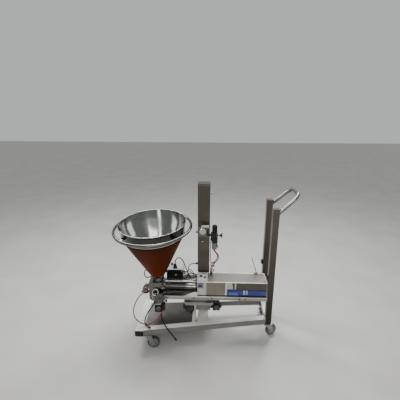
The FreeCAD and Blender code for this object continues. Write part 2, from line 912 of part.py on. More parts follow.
def lock_knob():
    """Lobed hand knob on the clamp screw, its axis along Y."""
    face = "-ear_thick - collar_slit / 2 - small_clearance"
    hub = rod(
        "knob_hub", "y", "knob_hub_diameter / 2", "knob_hub_length",
        "screw_x", f"{face} - knob_hub_length", "screw_z",
    )
    low = f"{face} - knob_hub_length - knob_depth"
    disc = rod("knob_disc", "y", "knob_diameter / 2 - 9", "knob_depth", "screw_x", low, "screw_z")
    screw = rod(
        "knob_screw", "y", "screw_diameter / 2", f"-({face}) + ear_thick + collar_slit / 2",
        "screw_x", face, "screw_z",
    )
    lobes = []
    for number in range(int(size.knob_lobes)):
        turn = f"(360 * {number} / knob_lobes)"
        lobes.append(rod(
            f"knob_lobe_{number}", "y", "knob_diameter / 6.5", "knob_depth",
            f"screw_x + (knob_diameter / 2 - knob_diameter / 6.5) * cos{turn}", low,
            f"screw_z + (knob_diameter / 2 - knob_diameter / 6.5) * sin{turn}",
        ))
    node(fuse("knob", hub, disc, screw, *lobes), "lock_knob")


# Head: bracket, tray and housing


def support_bracket():
    low = "bracket_low_z"
    high = "bracket_low_z + bracket_thick"
    shape = [
        ("bracket_left_x", high),
        ("bracket_left_x", f"{low} + bracket_chamfer"),
        ("bracket_left_x + bracket_chamfer", low),
        ("bracket_right_x - bracket_chamfer", low),
        ("bracket_right_x", f"{low} + bracket_chamfer"),
        ("bracket_right_x", high),
    ]
    saddle = padded("bracket_saddle", "XZ_Plane", [shape], "sleeve_front_y - bracket_front_y")
    place(saddle, y="sleeve_front_y")
    riser = block(
        "bracket_riser", "bracket_right_x - bracket_left_x - 2 * riser_inset",
        "tray_back_y - bracket_front_y - riser_inset", f"tray_low_z - ({high})",
        "bracket_left_x + riser_inset", "bracket_front_y + riser_inset", high,
    )
    wall = "bracket_wall"
    saddle_hollow = block(
        "bracket_saddle_hollow", "bracket_right_x - bracket_left_x - 2 * bracket_chamfer - 2 * bracket_wall",
        "sleeve_front_y - bracket_front_y - 2 * bracket_wall", "bracket_thick - 2 * bracket_wall",
        "bracket_left_x + bracket_chamfer + bracket_wall", f"bracket_front_y + {wall}", f"{low} + {wall}",
    )
    riser_hollow = block(
        "bracket_riser_hollow", "bracket_right_x - bracket_left_x - 2 * riser_inset - 2 * bracket_wall",
        "tray_back_y - bracket_front_y - riser_inset - 2 * bracket_wall", f"tray_low_z - ({high}) - {wall}",
        f"bracket_left_x + riser_inset + {wall}", f"bracket_front_y + riser_inset + {wall}", high,
    )
    solid = fuse("bracket_solid", saddle, riser)
    node(cut("bracket", solid, saddle_hollow, riser_hollow), "support_bracket")


def support_tray():
    """Pan under the cylinders, open at its left end."""
    pan = block(
        "tray_block", "tray_right_x - tray_left_x", "tray_back_y - tray_front_y", "tray_height",
        "tray_left_x", "tray_front_y", "tray_low_z",
    )
    inside = block(
        "tray_inside", "tray_right_x - tray_left_x", "tray_back_y - tray_front_y - 2 * tray_wall",
        "tray_height", "tray_left_x - tray_wall", "tray_front_y + tray_wall", "tray_low_z + tray_wall",
    )
    node(cut("tray", pan, inside), "support_tray")


def body_housing():
    """Sheet housing round the air cylinder, open at its right end for the end cover."""
    outer = block(
        "housing_block", "housing_length - housing_wall", "housing_width", "housing_height",
        "housing_left_x", "housing_front_y", "housing_low_z",
    )
    inside = block(
        "housing_inside", "housing_length", "housing_width - 2 * housing_wall",
        "housing_height - 2 * housing_wall", "housing_left_x + housing_wall",
        "housing_front_y + housing_wall", "housing_low_z + housing_wall",
    )
    hole = rod(
        "housing_rod_hole", "x", "rod_diameter / 2 + 3", "2 * housing_wall",
        "housing_left_x - housing_wall / 2", "head_y", "axis_z",
    )
    node(cut("housing", outer, inside, hole), "body_housing")
    node(block(
        "end_cover", "housing_wall", "housing_width", "housing_height",
        "housing_right_x - housing_wall", "housing_front_y", "housing_low_z",
    ), "housing_end_cover")


# Head: air cylinder, product cylinder and piston


def air_cylinder():
    radius = "air_bore / 2 + air_wall"
    barrel = rod("air_barrel", "x", radius, "air_length", "air_start_x", "head_y", "axis_z")
    bore = rod(
        "air_bore_tool", "x", "air_bore / 2", "air_length - 2 * air_cap",
        "air_start_x + air_cap", "head_y", "axis_z",
    )
    hole = rod(
        "air_rod_hole", "x", "rod_diameter / 2 + rod_gap", "2 * air_cap",
        "air_start_x - air_cap / 2", "head_y", "axis_z",
    )
    foot = block(
        "air_foot", "air_length", "air_bore / 2", f"axis_z - housing_low_z - housing_wall",
        "air_start_x", "head_y - air_bore / 4", "housing_low_z + housing_wall",
    )
    node(cut("air_cylinder_bored", fuse("air_cylinder_solid", barrel, foot), bore, hole), "air_cylinder")


def product_cylinder():
    outer = rod(
        "product_tube", "x", "product_bore / 2 + product_wall", "product_length",
        "product_left_x", "head_y", "axis_z",
    )
    bore = rod(
        "product_bore_tool", "x", "product_bore / 2", "product_length",
        "product_left_x", "head_y", "axis_z",
    )
    node(cut("product_cylinder_bored", outer, bore), "product_cylinder")
    corners = [
        (f"{across} * tie_rod_spread", f"{up} * tie_rod_spread")
        for across in (-1, 1)
        for up in (-1, 1)
    ]
    tie_holes = [(across, up, "tie_rod_diameter / 2 + rod_gap") for across, up in corners]
    plates = []
    for side, radius, x in (
        ("left", "product_bore / 2", "product_left_x - end_plate_thick"),
        ("right", "rod_diameter / 2 + rod_gap", "housing_left_x - end_plate_thick"),
    ):
        holes = [("0", "0", radius), *tie_holes]
        plate = padded(f"end_plate_{side}", "YZ_Plane", [square("end_plate_side")], "end_plate_thick", holes=holes)
        plates.append(place(plate, x, "head_y", "axis_z"))
    node(group("cylinder_end_plates", *plates), "cylinder_end_plates")
    rods = []
    for number, (across, up) in enumerate(corners, start=1):
        rods.append(rod(
            f"tie_rod_{number}", "x", "tie_rod_diameter / 2", "product_length + 2 * end_plate_thick - 1",
            "product_left_x - end_plate_thick + 0.5", f"head_y + {across}", f"axis_z + {up}",
        ))
    node(group("tie_rods", *rods), "tie_rods")


def piston_set():
    start = "product_piston_x + product_piston_thick"
    shaft = rod(
        "piston_shaft", "x", "rod_diameter / 2", f"air_piston_x - ({start})", start, "head_y", "axis_z",
    )
    air_disc = rod(
        "air_piston_disc", "x", "air_bore / 2 - piston_gap", "air_piston_thick",
        "air_piston_x", "head_y", "axis_z",
    )
    node(fuse("rod_and_air_piston", shaft, air_disc), "piston_rod")
    disc = rod(
        "product_piston_disc", "x", "product_bore / 2 - piston_gap", "product_piston_thick",
        "product_piston_x", "head_y", "axis_z",
    )
    node(disc, "product_piston")


# Head: product valve


def leaned(piece, along):
    """Stands a piece on the hopper's leaned axis, a distance along it from the neck."""
    up = Vector(size.lean_x, size.lean_y, size.lean_z)
    base = Vector(size.column_x + size.neck_x, size.column_y + size.head_y, size.hopper_base_z)
    piece.Placement = Placement(base + up * along, Rotation(Vector(0, 0, 1), up))
    return piece


def leaned_rod(name, radius, length, along):
    bar = doc.addObject("Part::Cylinder", name)
    bind(bar, Radius=radius, Height=length)
    return leaned(bar, along)


def valve_body():
    case = block(
        "valve_block", "valve_width", "valve_depth", "valve_high_z - valve_low_z",
        "valve_left_x", "valve_front_y", "valve_low_z",
    )
    stub_start = size.hopper_neck_start - size.inlet_stub
    stub = leaned_rod("valve_inlet_stub", "hopper_neck_radius", "inlet_stub", stub_start)
    port = rod(
        "valve_front_port", "y", "outlet_diameter / 2", "front_port_length",
        "front_port_x", "valve_front_y - front_port_length", "front_port_z",
    )
    spool_bore = rod(
        "valve_spool_bore", "y", "spool_diameter / 2 + spool_gap", "2 * valve_depth",
        "valve_x", "head_y - valve_depth", "axis_z",
    )
    inlet = leaned_rod("valve_inlet_bore", "port_bore / 2", "90", -90)
    side_bore = rod(
        "valve_side_bore", "x", "port_bore / 2", "valve_width + 2",
        "valve_left_x - 1", "head_y", "axis_z",
    )
    drain = rod(
        "drain_tube", "z", "5", "43", "front_port_x", "valve_front_y - 6", "front_port_z - 43",
    )
    cover_y = "tray_front_y - cover_gap - cover_thick"
    cover = rod("valve_cover", "y", "cover_diameter / 2", "cover_thick", "cover_x", cover_y, "cover_z")
    cover_neck = rod(
        "cover_neck", "y", "cover_neck_diameter / 2", "valve_front_y - tray_front_y + cover_gap",
        "cover_neck_x", "tray_front_y - cover_gap", "cover_z",
    )
    solid = fuse("valve_solid", case, stub, port, drain, cover, cover_neck)
    bored = cut("valve_bored", solid, spool_bore)
    ported = cut("valve_ported", bored, side_bore)
    node(cut("valve", ported, inlet), "valve_body")


def valve_spool():
    """Turning spool: a chord is cut away, so that the rest shuts either the outlet or the inlet."""
    plug = rod(
        "spool_plug", "y", "spool_diameter / 2", "valve_depth", "valve_x", "valve_front_y", "axis_z",
    )
    window = block(
        "spool_window", "spool_diameter", "valve_depth - 2 * spool_journal", "2 * spool_diameter",
        "valve_x - spool_chord", "valve_front_y + spool_journal", "axis_z - spool_diameter",
    )
    stem = rod("spool_stem", "y", "stem_diameter / 2", "stem_length", "valve_x", "valve_back_y", "axis_z")
    node(fuse("spool", cut("spool_cut", plug, window), stem), "valve_spool")


def valve_actuator():
    """Rotary actuator behind the valve, which turns the spool by its stem."""
    case = block(
        "actuator_case", "actuator_width", "actuator_depth", "actuator_height",
        "valve_x - actuator_width / 2", "valve_back_y", "axis_z - actuator_height / 2",
    )
    hole = rod(
        "actuator_hole", "y", "stem_diameter / 2 + stem_gap", "stem_length + small_clearance",
        "valve_x", "valve_back_y", "axis_z",
    )
    node(cut("actuator", case, hole), "valve_actuator")


def outlet_elbow():
    """Bent outlet pipe with a flange on the valve; its mouth points down."""
    route = [
        Vector(size.valve_left_x, size.head_y, size.axis_z),
        Vector(size.outlet_x, size.head_y, size.axis_z),
        Vector(size.outlet_x, size.head_y, size.outlet_low_z),
    ]
    radius = size.outlet_diameter / 2
    pipe = tube_shape(route, radius, size.outlet_bend)[0]
    flange = Part.makeCylinder(
        size.clamp_diameter / 2, size.outlet_lead + 3, route[0], Vector(-1, 0, 0),
    )
    rim = Part.makeCylinder(radius + 5, 5, route[2], Vector(0, 0, 1))
    inside = tube_shape(route, radius - size.outlet_wall, size.outlet_bend)[0]
    node(shaped("elbow", pipe.fuse([flange, rim]).removeSplitter().cut(inside)), "outlet_elbow")


def pipe_clamps():
    """Ring clamps at the hopper's neck and at the valve's front port."""
    neck_ring = leaned_rod("neck_clamp_ring", "hopper_neck_radius + 5", "clamp_width", -size.clamp_width / 2)
    neck_hole = leaned_rod("neck_clamp_hole", "hopper_neck_radius + 0.2", "clamp_width", -size.clamp_width / 2)
    port_low = "valve_front_y - front_port_length - 2"
    port_ring = rod(
        "port_clamp_ring", "y", "clamp_diameter / 2", "clamp_width",
        "front_port_x", port_low, "front_port_z",
    )
    port_hole = rod(
        "port_clamp_hole", "y", "outlet_diameter / 2 + 0.1", "clamp_width",
        "front_port_x", port_low, "front_port_z",
    )
    rings = [cut("neck_clamp", neck_ring, neck_hole), cut("port_clamp", port_ring, port_hole)]
    node(group("pipe_clamps", *rings), "pipe_clamps")


def hanging_blocks():
    """Foot, seat and pilot block under the valve, and the air valve under the bracket."""
    post = block(
        "foot_post", "foot_width", "foot_depth", "foot_height",
        "foot_x - foot_width / 2", "head_y - foot_depth / 2", "valve_low_z - foot_height",
    )
    seat = block(
        "pilot_seat", "pilot_width + 2 * seat_overhang", "pilot_depth + seat_reach", "seat_thick",
        "foot_x - pilot_width / 2 - seat_overhang", "pilot_front_y", "seat_z",
    )
    node(fuse("foot", post, seat), "valve_foot")
    case = block(
        "pilot_case", "pilot_width", "pilot_depth", "pilot_height",
        "foot_x - pilot_width / 2", "pilot_front_y", "pilot_z",
    )
    port = rod(
        "pilot_port", "y", "port_recess_diameter / 2", "port_recess_depth",
        "foot_x + port_recess_shift", "pilot_front_y", "pilot_z + port_recess_lift",
    )
    node(cut("pilot", case, port), "pilot_block")
    manifold = block(
        "fitting_manifold", "manifold_width", "manifold_depth", "manifold_height",
        "pilot_right_x", "pilot_front_y + manifold_inset", "pilot_z + manifold_lift",
    )
    collets = [
        rod(
            f"fitting_collet_{number}", "y", "fitting_diameter / 2", "fitting_length",
            f"pilot_right_x + collet_inset + {number} * collet_shift",
            "pilot_front_y + manifold_inset - fitting_length",
            f"pilot_z + collet_lift + {number} * collet_pitch",
        )
        for number in range(2)
    ]
    loop_fitting = rod(
        "loop_fitting", "x", "fitting_diameter / 2", "loop_fitting_length",
        "valve_left_x - loop_fitting_length", "head_y - loop_fitting_near", "loop_fitting_z",
    )
    pilot_fittings = fuse("pilot_fittings_joined", manifold, *collets)
    node(group("push_in_fittings", pilot_fittings, loop_fitting), "push_in_fittings")


def air_valve():
    left = "air_valve_x - air_valve_width / 2"
    front = "bracket_front_y + air_valve_inset"
    middle = f"{front} + air_valve_depth / 2"
    body = block(
        "air_valve_block", "air_valve_width", "air_valve_depth", "air_valve_height",
        left, front, "bracket_low_z - air_valve_height",
    )
    cap = rod(
        "air_valve_cap", "x", "air_valve_cap_diameter / 2", "air_valve_cap_length",
        f"{left} - air_valve_cap_length", middle, "bracket_low_z - air_valve_height / 2",
    )
    drain = rod(
        "air_valve_drain", "z", "drain_cap_diameter / 2", "drain_cap_length",
        "air_valve_x + drain_cap_shift", middle, "bracket_low_z - air_valve_height - drain_cap_length",
    )
    slot = block(
        "air_valve_slot", "vent_slot_width", "vent_slot_depth", "vent_slot_height",
        "air_valve_x - vent_slot_left", front, "bracket_low_z - vent_slot_drop",
    )
    node(cut("air_valve_body", fuse("air_valve_solid", body, cap, drain), slot), "air_valve")


# Hopper


def cone_radius(along, out="0"):
    """Radius of the cone's outer face at a distance along the axis, moved out by a thickness."""
    share = "(hopper_cone_radius - hopper_neck_radius) / (hopper_cone_length - hopper_neck_end)"
    return f"hopper_neck_radius + {share} * ({along} - hopper_neck_end) + ({out})"


def hopper():
    wall = "hopper_wall"
    shell = [
        ("hopper_neck_radius", "hopper_neck_start"),
        ("hopper_neck_radius", "hopper_neck_end"),
        ("hopper_cone_radius", "hopper_cone_length"),
        ("hopper_rim_radius", "hopper_length - rim_bead"),
        ("hopper_rim_radius + rim_bead", "hopper_length - rim_bead"),
        ("hopper_rim_radius + rim_bead", "hopper_length"),
        (f"hopper_rim_radius - {wall}", "hopper_length"),
        (f"hopper_cone_radius - {wall}", "hopper_cone_length"),
        (f"hopper_neck_radius - {wall}", "hopper_neck_end"),
        (f"hopper_neck_radius - {wall}", "hopper_neck_start"),
    ]
    node(leaned(revolved("hopper_cone", shell), 0), "hopper_shell")
    gap = "jacket_gap"
    jacket = [
        (cone_radius("jacket_start", gap), "jacket_start"),
        (cone_radius("jacket_start", f"{gap} + jacket_thick"), "jacket_start"),
        (cone_radius("jacket_end", f"{gap} + jacket_thick"), "jacket_end"),
        (cone_radius("jacket_end", gap), "jacket_end"),
    ]
    node(leaned(revolved("jacket", jacket), 0), "heater_jacket")


def ring_handle():
    """Round bar ring below the rim, held off the band by flat lugs."""
    along = size.ring_along
    ring = Part.makeTorus(size.ring_radius, size.ring_tube, Vector(0, 0, along))
    band_height = size.hopper_length - size.rim_bead - size.hopper_cone_length
    rise = (size.hopper_rim_radius - size.hopper_cone_radius) / band_height
    band = size.hopper_cone_radius + rise * (along - size.hopper_cone_length)
    lugs = []
    for number in range(int(size.ring_lugs)):
        lug = Part.makeBox(
            size.ring_radius - band + size.lug_thick, size.lug_width, size.lug_thick,
            Vector(band - size.lug_thick, -size.lug_width / 2, along - size.lug_thick / 2),
        )
        lug.rotate(Vector(), Vector(0, 0, 1), 45 + 360 * number / size.ring_lugs)
        lugs.append(lug)
    inside = Part.makeCone(
        size.hopper_cone_radius, size.hopper_rim_radius, band_height, Vector(0, 0, size.hopper_cone_length),
    )
    piece = doc.addObject("Part::Feature", "ring")
    piece.Shape = ring.fuse([lug.cut(inside) for lug in lugs])
    node(leaned(piece, 0), "ring_handle")


# Air service set on the column


def air_service():
    face = "sleeve_front_y - service_block_depth"
    mid_y = "service_y"
    case = block(
        "service_block", "service_block_width", "service_block_depth", "service_block_height",
        "-service_block_width / 2 - 2", face, "service_block_low_z",
    )
    inlet_z = "service_block_low_z + service_block_height * 0.45"
    inlet_x = "-service_block_width / 2 - 2 - inlet_length"
    nipple = rod("inlet_nipple", "x", "inlet_bore / 2 + inlet_wall", "inlet_length", inlet_x, mid_y, inlet_z)
    inlet = rod("inlet_bore_tool", "x", "inlet_bore / 2", "inlet_length + 10", inlet_x, mid_y, inlet_z)
    link_z = "regulator_low_z + regulator_height - 9"
    link = rod(
        "service_link", "x", "8", "regulator_x - regulator_width / 2 - service_block_width / 2 + 2",
        "service_block_width / 2 - 2", mid_y, link_z,
    )
    node(cut("service", fuse("service_solid", case, nipple, link), inlet), "air_service_block")
    half = "regulator_width / 2"
    body = block(
        "regulator_case", "regulator_width", "regulator_width", "regulator_height",
        f"regulator_x - {half}", f"{mid_y} - {half}", "regulator_low_z",
    )
    top = "regulator_low_z + regulator_height"
    knob_hole = rod(
        "regulator_knob_hole", "z", "small_shaft_diameter / 2 + small_gap", "16",
        "regulator_x", mid_y, f"{top} - 16",
    )
    tee_hole = rod(
        "regulator_tee_hole", "x", "small_shaft_diameter / 2 + small_gap", "12",
        f"regulator_x + {half} - 12", mid_y, link_z,
    )
    node(cut("regulator", body, knob_hole, tee_hole), "air_regulator")
    grip = rod(
        "regulator_grip", "z", "regulator_knob_diameter / 2", "regulator_knob_length",
        "regulator_x", mid_y, f"{top} + small_clearance",
    )
    shaft = rod(
        "regulator_shaft", "z", "small_shaft_diameter / 2", "15 + small_clearance",
        "regulator_x", mid_y, f"{top} - 15",
    )
    node(fuse("regulator_knob_joined", grip, shaft), "regulator_knob")
    bowl = rod(
        "bowl", "z", "bowl_diameter / 2", "bowl_length", "regulator_x", mid_y,
        "regulator_low_z - bowl_length",
    )
    outlet = rod(
        "bowl_outlet", "z", "6", "10", "regulator_x", mid_y, "regulator_low_z - bowl_length - 10",
    )
    node(fuse("bowl_joined", bowl, outlet), "filter_bowl")
    tee_shaft = rod(
        "tee_shaft", "x", "small_shaft_diameter / 2", "tee_length + 11",
        f"regulator_x + {half} - 11", mid_y, link_z,
    )
    tee_bar = rod(
        "tee_bar", "z", "small_shaft_diameter / 2", "tee_span",
        f"regulator_x + {half} + tee_length", mid_y, f"{link_z} - tee_span / 2",
    )
    node(fuse("tee", tee_shaft, tee_bar), "shutoff_handle")


# Control box


def control_box():
    outer = block(
        "box_case", "box_width", "box_back_y - box_front_y", "box_height",
        "box_left_x", "box_front_y", "box_low_z",
    )
    inside = block(
        "box_inside", "box_width - 2 * box_wall", "box_back_y - box_front_y - box_wall",
        "box_height - 2 * box_wall", "box_left_x + box_wall", "box_front_y", "box_low_z + box_wall",
    )
    start = "box_left_x + box_width"
    arm = block(
        "box_arm", f"-sleeve_side / 2 - ({start})", "arm_width", "arm_height",
        start, "box_front_y", "arm_low_z",
    )
    node(fuse("box", cut("box_shell", outer, inside), arm), "control_box")
    node(block(
        "box_lid", "box_width", "lid_thick", "box_height",
        "box_left_x", "box_front_y - lid_thick", "box_low_z",
    ), "control_box_lid")


def cable_glands():
    radius = "gland_diameter / 2"
    top = "box_low_z + box_height"
    glands = [
        rod(
            "gland_box_front", "z", radius, "gland_length",
            "box_left_x + front_gland_x", "box_front_y + front_gland_y", top,
        ),
        rod(
            "gland_box_back", "z", radius, "gland_length",
            "box_left_x + rear_gland_x", "box_front_y + rear_gland_y", top,
        ),
        rod(
            "gland_box_side", "x", radius, "gland_length",
            "box_left_x - gland_length", "box_front_y + side_gland_y", "box_low_z + side_gland_z",
        ),
        rod(
            "gland_sleeve", "x", radius, "gland_length",
            "-sleeve_side / 2 - gland_length", "sleeve_gland_y", "sleeve_gland_z",
        ),
        rod(
            "gland_sleeve_low", "x", radius, "gland_length",
            "-sleeve_side / 2 - gland_length", "sleeve_gland_y", "lower_gland_z",
        ),
        rod(
            "gland_box_right", "x", radius, "gland_length",
            "box_left_x + box_width", "box_front_y + side_gland_y", "box_low_z + side_gland_z",
        ),
        rod("gland_housing", "z", radius, "gland_length", "housing_gland_x", "housing_gland_y", "housing_top"),
    ]
    node(group("cable_glands", *glands), "cable_glands")


def sensor_rod():
    """Thin leaning stay with its clamp on the housing's rear top edge."""
    left = size.housing_right_x - size.stay_clamp_x
    near = size.stay_clamp_y
    low = size.housing_top
    clamp = Part.makeBox(
        size.stay_clamp_width, size.stay_clamp_depth, size.stay_clamp_height, Vector(left, near, low)
    )
    foot = Vector(
        left + size.stay_clamp_width * 0.7, near + size.stay_clamp_depth * 0.7, low + size.stay_clamp_height * 0.6
    )
    knee = Vector(foot.x - size.stay_lean * 0.3, foot.y + 2, low + size.stay_knee)
    top = Vector(foot.x - size.stay_lean, foot.y + 4, low + size.stay_rise)
    stay = tube_shape([foot, knee, top], size.stay_diameter / 2)[0]
    node(shaped("stay", clamp.fuse(stay)), "sensor_rod")


# Cords, their points from the column's axis


def end_fitting(name, route):
    """Coupler on a hose's free end, in line with its last run."""
    last, end = (Vector(*place) for place in route[-2:])
    radius = size.hose_fitting_diameter / 2
    return shaped(name, Part.makeCylinder(radius, size.hose_fitting_length, end, end - last))


def cords():
    cord("red_air_loop", size.red_tube_diameter, [
        (-370, -139, 350), (-384, -142, 349), (-406, -154, 340), (-428, -172, 320),
        (-444, -188, 294), (-454, -200, 264), (-457, -209, 233), (-449, -217, 203),
        (-429, -224, 179), (-400, -228, 164), (-368, -229, 157), (-336, -226, 163),
        (-310, -223, 180), (-291, -221, 201), (-277, -216, 222), (-267, -205, 239),
        (-262, -190, 248), (-262, -173, 251), (-262, -156, 250),
    ])
    drain = [
        (-325, -156, 283), (-328, -159, 271), (-337, -164, 254), (-351, -173, 237),
        (-365, -187, 219), (-376, -203, 199), (-381, -218, 180), (-378, -232, 167),
        (-367, -243, 159), (-352, -250, 156),
    ]
    cord("drain_hose", size.hose_diameter, drain)
    air = [
        (-274, -156, 223), (-275, -172, 220), (-275, -190, 212), (-270, -208, 200), (-261, -226, 185),
        (-246, -241, 168), (-228, -255, 148), (-208, -263, 127), (-190, -266, 105), (-176, -266, 83),
    ]
    cord("air_hose", size.hose_diameter, air)
    cord("regulator_hose", size.red_hose_diameter, [
        (72, -60, 623), (77, -60, 611), (90, -60, 600), (100, -60, 583), (101, -59, 562),
        (92, -58, 543), (78, -58, 527), (66, -59, 509), (58, -61, 489), (54, -62, 472), (53, -62, 456),
    ])
    cord("control_cable", size.cable_diameter, [
        (-205, 40, 444), (-205, 40, 462), (-203, 38, 482), (-195, 33, 503), (-178, 26, 517), (-157, 18, 514),
        (-143, 10, 498), (-133, 2, 477), (-122, -6, 453), (-112, -11, 429), (-103, -12, 405), (-93, -12, 383),
        (-80, -12, 367), (-67, -12, 359), (-54, -12, 357),
    ])
    cord("heater_cable", size.cable_diameter, [
        (-371, -107, 495), (-378, -106, 492), (-388, -104, 483), (-396, -101, 467), (-397, -95, 446),
        (-390, -86, 424), (-379, -72, 412), (-364, -55, 410), (-346, -36, 416), (-326, -18, 419),
        (-304, 2, 414), (-289, 22, 406), (-276, 40, 400),
    ])
    fittings = [end_fitting("hose_cap", drain), end_fitting("hose_coupler", air)]
    node(group("hose_fittings", *fittings), "hose_fittings")


base_frame()
posts_and_caps()
push_handle()
casters()
lift_column()
gas_strut()
clamp_collar()
lock_knob()
support_bracket()
support_tray()
body_housing()
air_cylinder()
product_cylinder()
piston_set()
valve_body()
valve_spool()
valve_actuator()
outlet_elbow()
pipe_clamps()
hanging_blocks()
air_valve()
hopper()
ring_handle()
air_service()
control_box()
cable_glands()
sensor_rod()
cords()

doc.recompute()

faults = [obj.Name for obj in doc.Objects if {"Invalid", "Error"} & set(obj.State)]
faults += [piece.Label for piece in NODES if piece.Shape.isNull() or not piece.Shape.isValid()]
if faults:
    raise RuntimeError("faulty pieces: " + ", ".join(faults))
for piece in NODES:
    piece.Shape.exportStep(f"parts/{piece.Label}.step")
print(len(NODES), "nodes written")
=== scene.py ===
"""Looks of the food depositor: finishes, hoses, fittings and the stage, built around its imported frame."""

import math

import bmesh
import bpy
from bpy.props import FloatProperty, FloatVectorProperty, PointerProperty
from mathutils import Matrix, Vector


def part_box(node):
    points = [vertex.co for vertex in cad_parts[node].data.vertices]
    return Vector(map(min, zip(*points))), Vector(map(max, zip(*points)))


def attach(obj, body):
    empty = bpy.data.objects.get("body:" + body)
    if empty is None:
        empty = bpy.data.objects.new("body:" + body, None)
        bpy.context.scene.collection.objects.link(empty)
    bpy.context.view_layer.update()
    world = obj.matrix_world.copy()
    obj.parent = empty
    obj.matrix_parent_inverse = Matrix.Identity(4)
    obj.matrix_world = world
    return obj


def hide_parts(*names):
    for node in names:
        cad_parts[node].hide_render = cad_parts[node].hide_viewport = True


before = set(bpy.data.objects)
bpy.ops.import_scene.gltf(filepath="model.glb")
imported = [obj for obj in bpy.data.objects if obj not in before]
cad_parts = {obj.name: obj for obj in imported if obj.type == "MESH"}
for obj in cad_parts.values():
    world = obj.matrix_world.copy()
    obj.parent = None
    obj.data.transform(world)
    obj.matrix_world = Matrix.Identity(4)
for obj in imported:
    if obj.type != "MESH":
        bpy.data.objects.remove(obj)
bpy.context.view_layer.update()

bl_info = {
    "name": "Food Depositor Dressing",
    "version": (1, 0, 0),
    "blender": (4, 5, 0),
    "location": "View3D > Sidebar > Depositor",
    "description": "Finishes and fittings of a cart-mounted food depositor",
    "category": "Object",
}

MM = 0.001
UP = Vector((0, 0, 1))
COLUMN_LOW, COLUMN_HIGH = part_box("inner_column")
AXIS = (COLUMN_LOW + COLUMN_HIGH) / 2
CASTERS = {"near_front": 0, "far_front": 15, "near_rear": 25, "far_rear": 90}


def spot(x, y, z):
    """Place given in millimetres from the lift column's axis and the floor, in the frame's metres."""
    return Vector((AXIS.x + x * MM, AXIS.y + y * MM, z * MM))


# Finishes


def start_finish(name, metallic=0.0, **sockets):
    material = bpy.data.materials.new(name)
    material.use_nodes = True
    shader = material.node_tree.nodes["Principled BSDF"]
    shader.inputs["Metallic"].default_value = metallic
    for socket, value in sockets.items():
        shader.inputs[socket.replace("_", " ")].default_value = value
    return material, material.node_tree, shader


def object_place(tree, scale=(1, 1, 1)):
    coords = tree.nodes.new("ShaderNodeTexCoord")
    mapping = tree.nodes.new("ShaderNodeMapping")
    mapping.inputs["Scale"].default_value = scale
    tree.links.new(coords.outputs["Object"], mapping.inputs["Vector"])
    return mapping.outputs["Vector"]


def noise(tree, place, scale, detail=3.0):
    texture = tree.nodes.new("ShaderNodeTexNoise")
    texture.inputs["Scale"].default_value = scale
    texture.inputs["Detail"].default_value = detail
    tree.links.new(place, texture.inputs["Vector"])
    return texture.outputs["Fac"]


def remap(tree, value, low, high, start=0.3, stop=0.7):
    node = tree.nodes.new("ShaderNodeMapRange")
    for socket, number in (("From Min", start), ("From Max", stop), ("To Min", low), ("To Max", high)):
        node.inputs[socket].default_value = number
    tree.links.new(value, node.inputs["Value"])
    return node.outputs["Result"]


def shades(tree, factor, *stops):
    """Colour ramp whose stops are pairs of a position and a colour."""
    node = tree.nodes.new("ShaderNodeValToRGB")
    ramp = node.color_ramp
    while len(ramp.elements) < len(stops):
        ramp.elements.new(1.0)
    for element, (position, colour) in zip(ramp.elements, stops):
        element.position = position
        element.color = (*colour, 1)
    tree.links.new(factor, node.inputs["Fac"])
    return node.outputs["Color"]


def tinted(tree, first, second, factor, kind="MULTIPLY"):
    node = tree.nodes.new("ShaderNodeMix")
    node.data_type = "RGBA"
    node.blend_type = kind
    node.inputs[0].default_value = factor
    tree.links.new(first, node.inputs[6])
    tree.links.new(second, node.inputs[7])
    return node.outputs[2]


def relief(tree, shader, height, strength, distance):
    node = tree.nodes.new("ShaderNodeBump")
    node.inputs["Strength"].default_value = strength
    node.inputs["Distance"].default_value = distance
    tree.links.new(height, node.inputs["Height"])
    tree.links.new(node.outputs["Normal"], shader.inputs["Normal"])


def scaled(colour, factor):
    return tuple(min(channel * factor, 1.0) for channel in colour)


def painted_light_along(tree, colour, axis, start, stop, low, high):
    """Painted shade and painted highlight: colour darkened or lightened along one axis of the machine, in
    metres.
    """
    split = tree.nodes.new("ShaderNodeSeparateXYZ")
    tree.links.new(object_place(tree), split.inputs["Vector"])
    return multiplied(tree, colour, remap(tree, split.outputs[axis], low, high, start, stop))


def painted_facing_shade(tree, colour, side, under_shade):
    """Painted shade: colour kept on the faces that look up, and darkened on the sides and below."""
    normal = tree.nodes.new("ShaderNodeNewGeometry")
    split = tree.nodes.new("ShaderNodeSeparateXYZ")
    tree.links.new(normal.outputs["Normal"], split.inputs["Vector"])
    upper = remap(tree, split.outputs["Z"], side, 1.0, 0.35, 0.9)
    lower = remap(tree, split.outputs["Z"], under_shade, 1.0, -0.9, -0.1)
    return multiplied(tree, multiplied(tree, colour, upper), lower)


def multiplied(tree, colour, factor):
    node = tree.nodes.new("ShaderNodeVectorMath")
    node.operation = "SCALE"
    tree.links.new(colour, node.inputs["Vector"])
    tree.links.new(factor, node.inputs["Scale"])
    return node.outputs["Vector"]


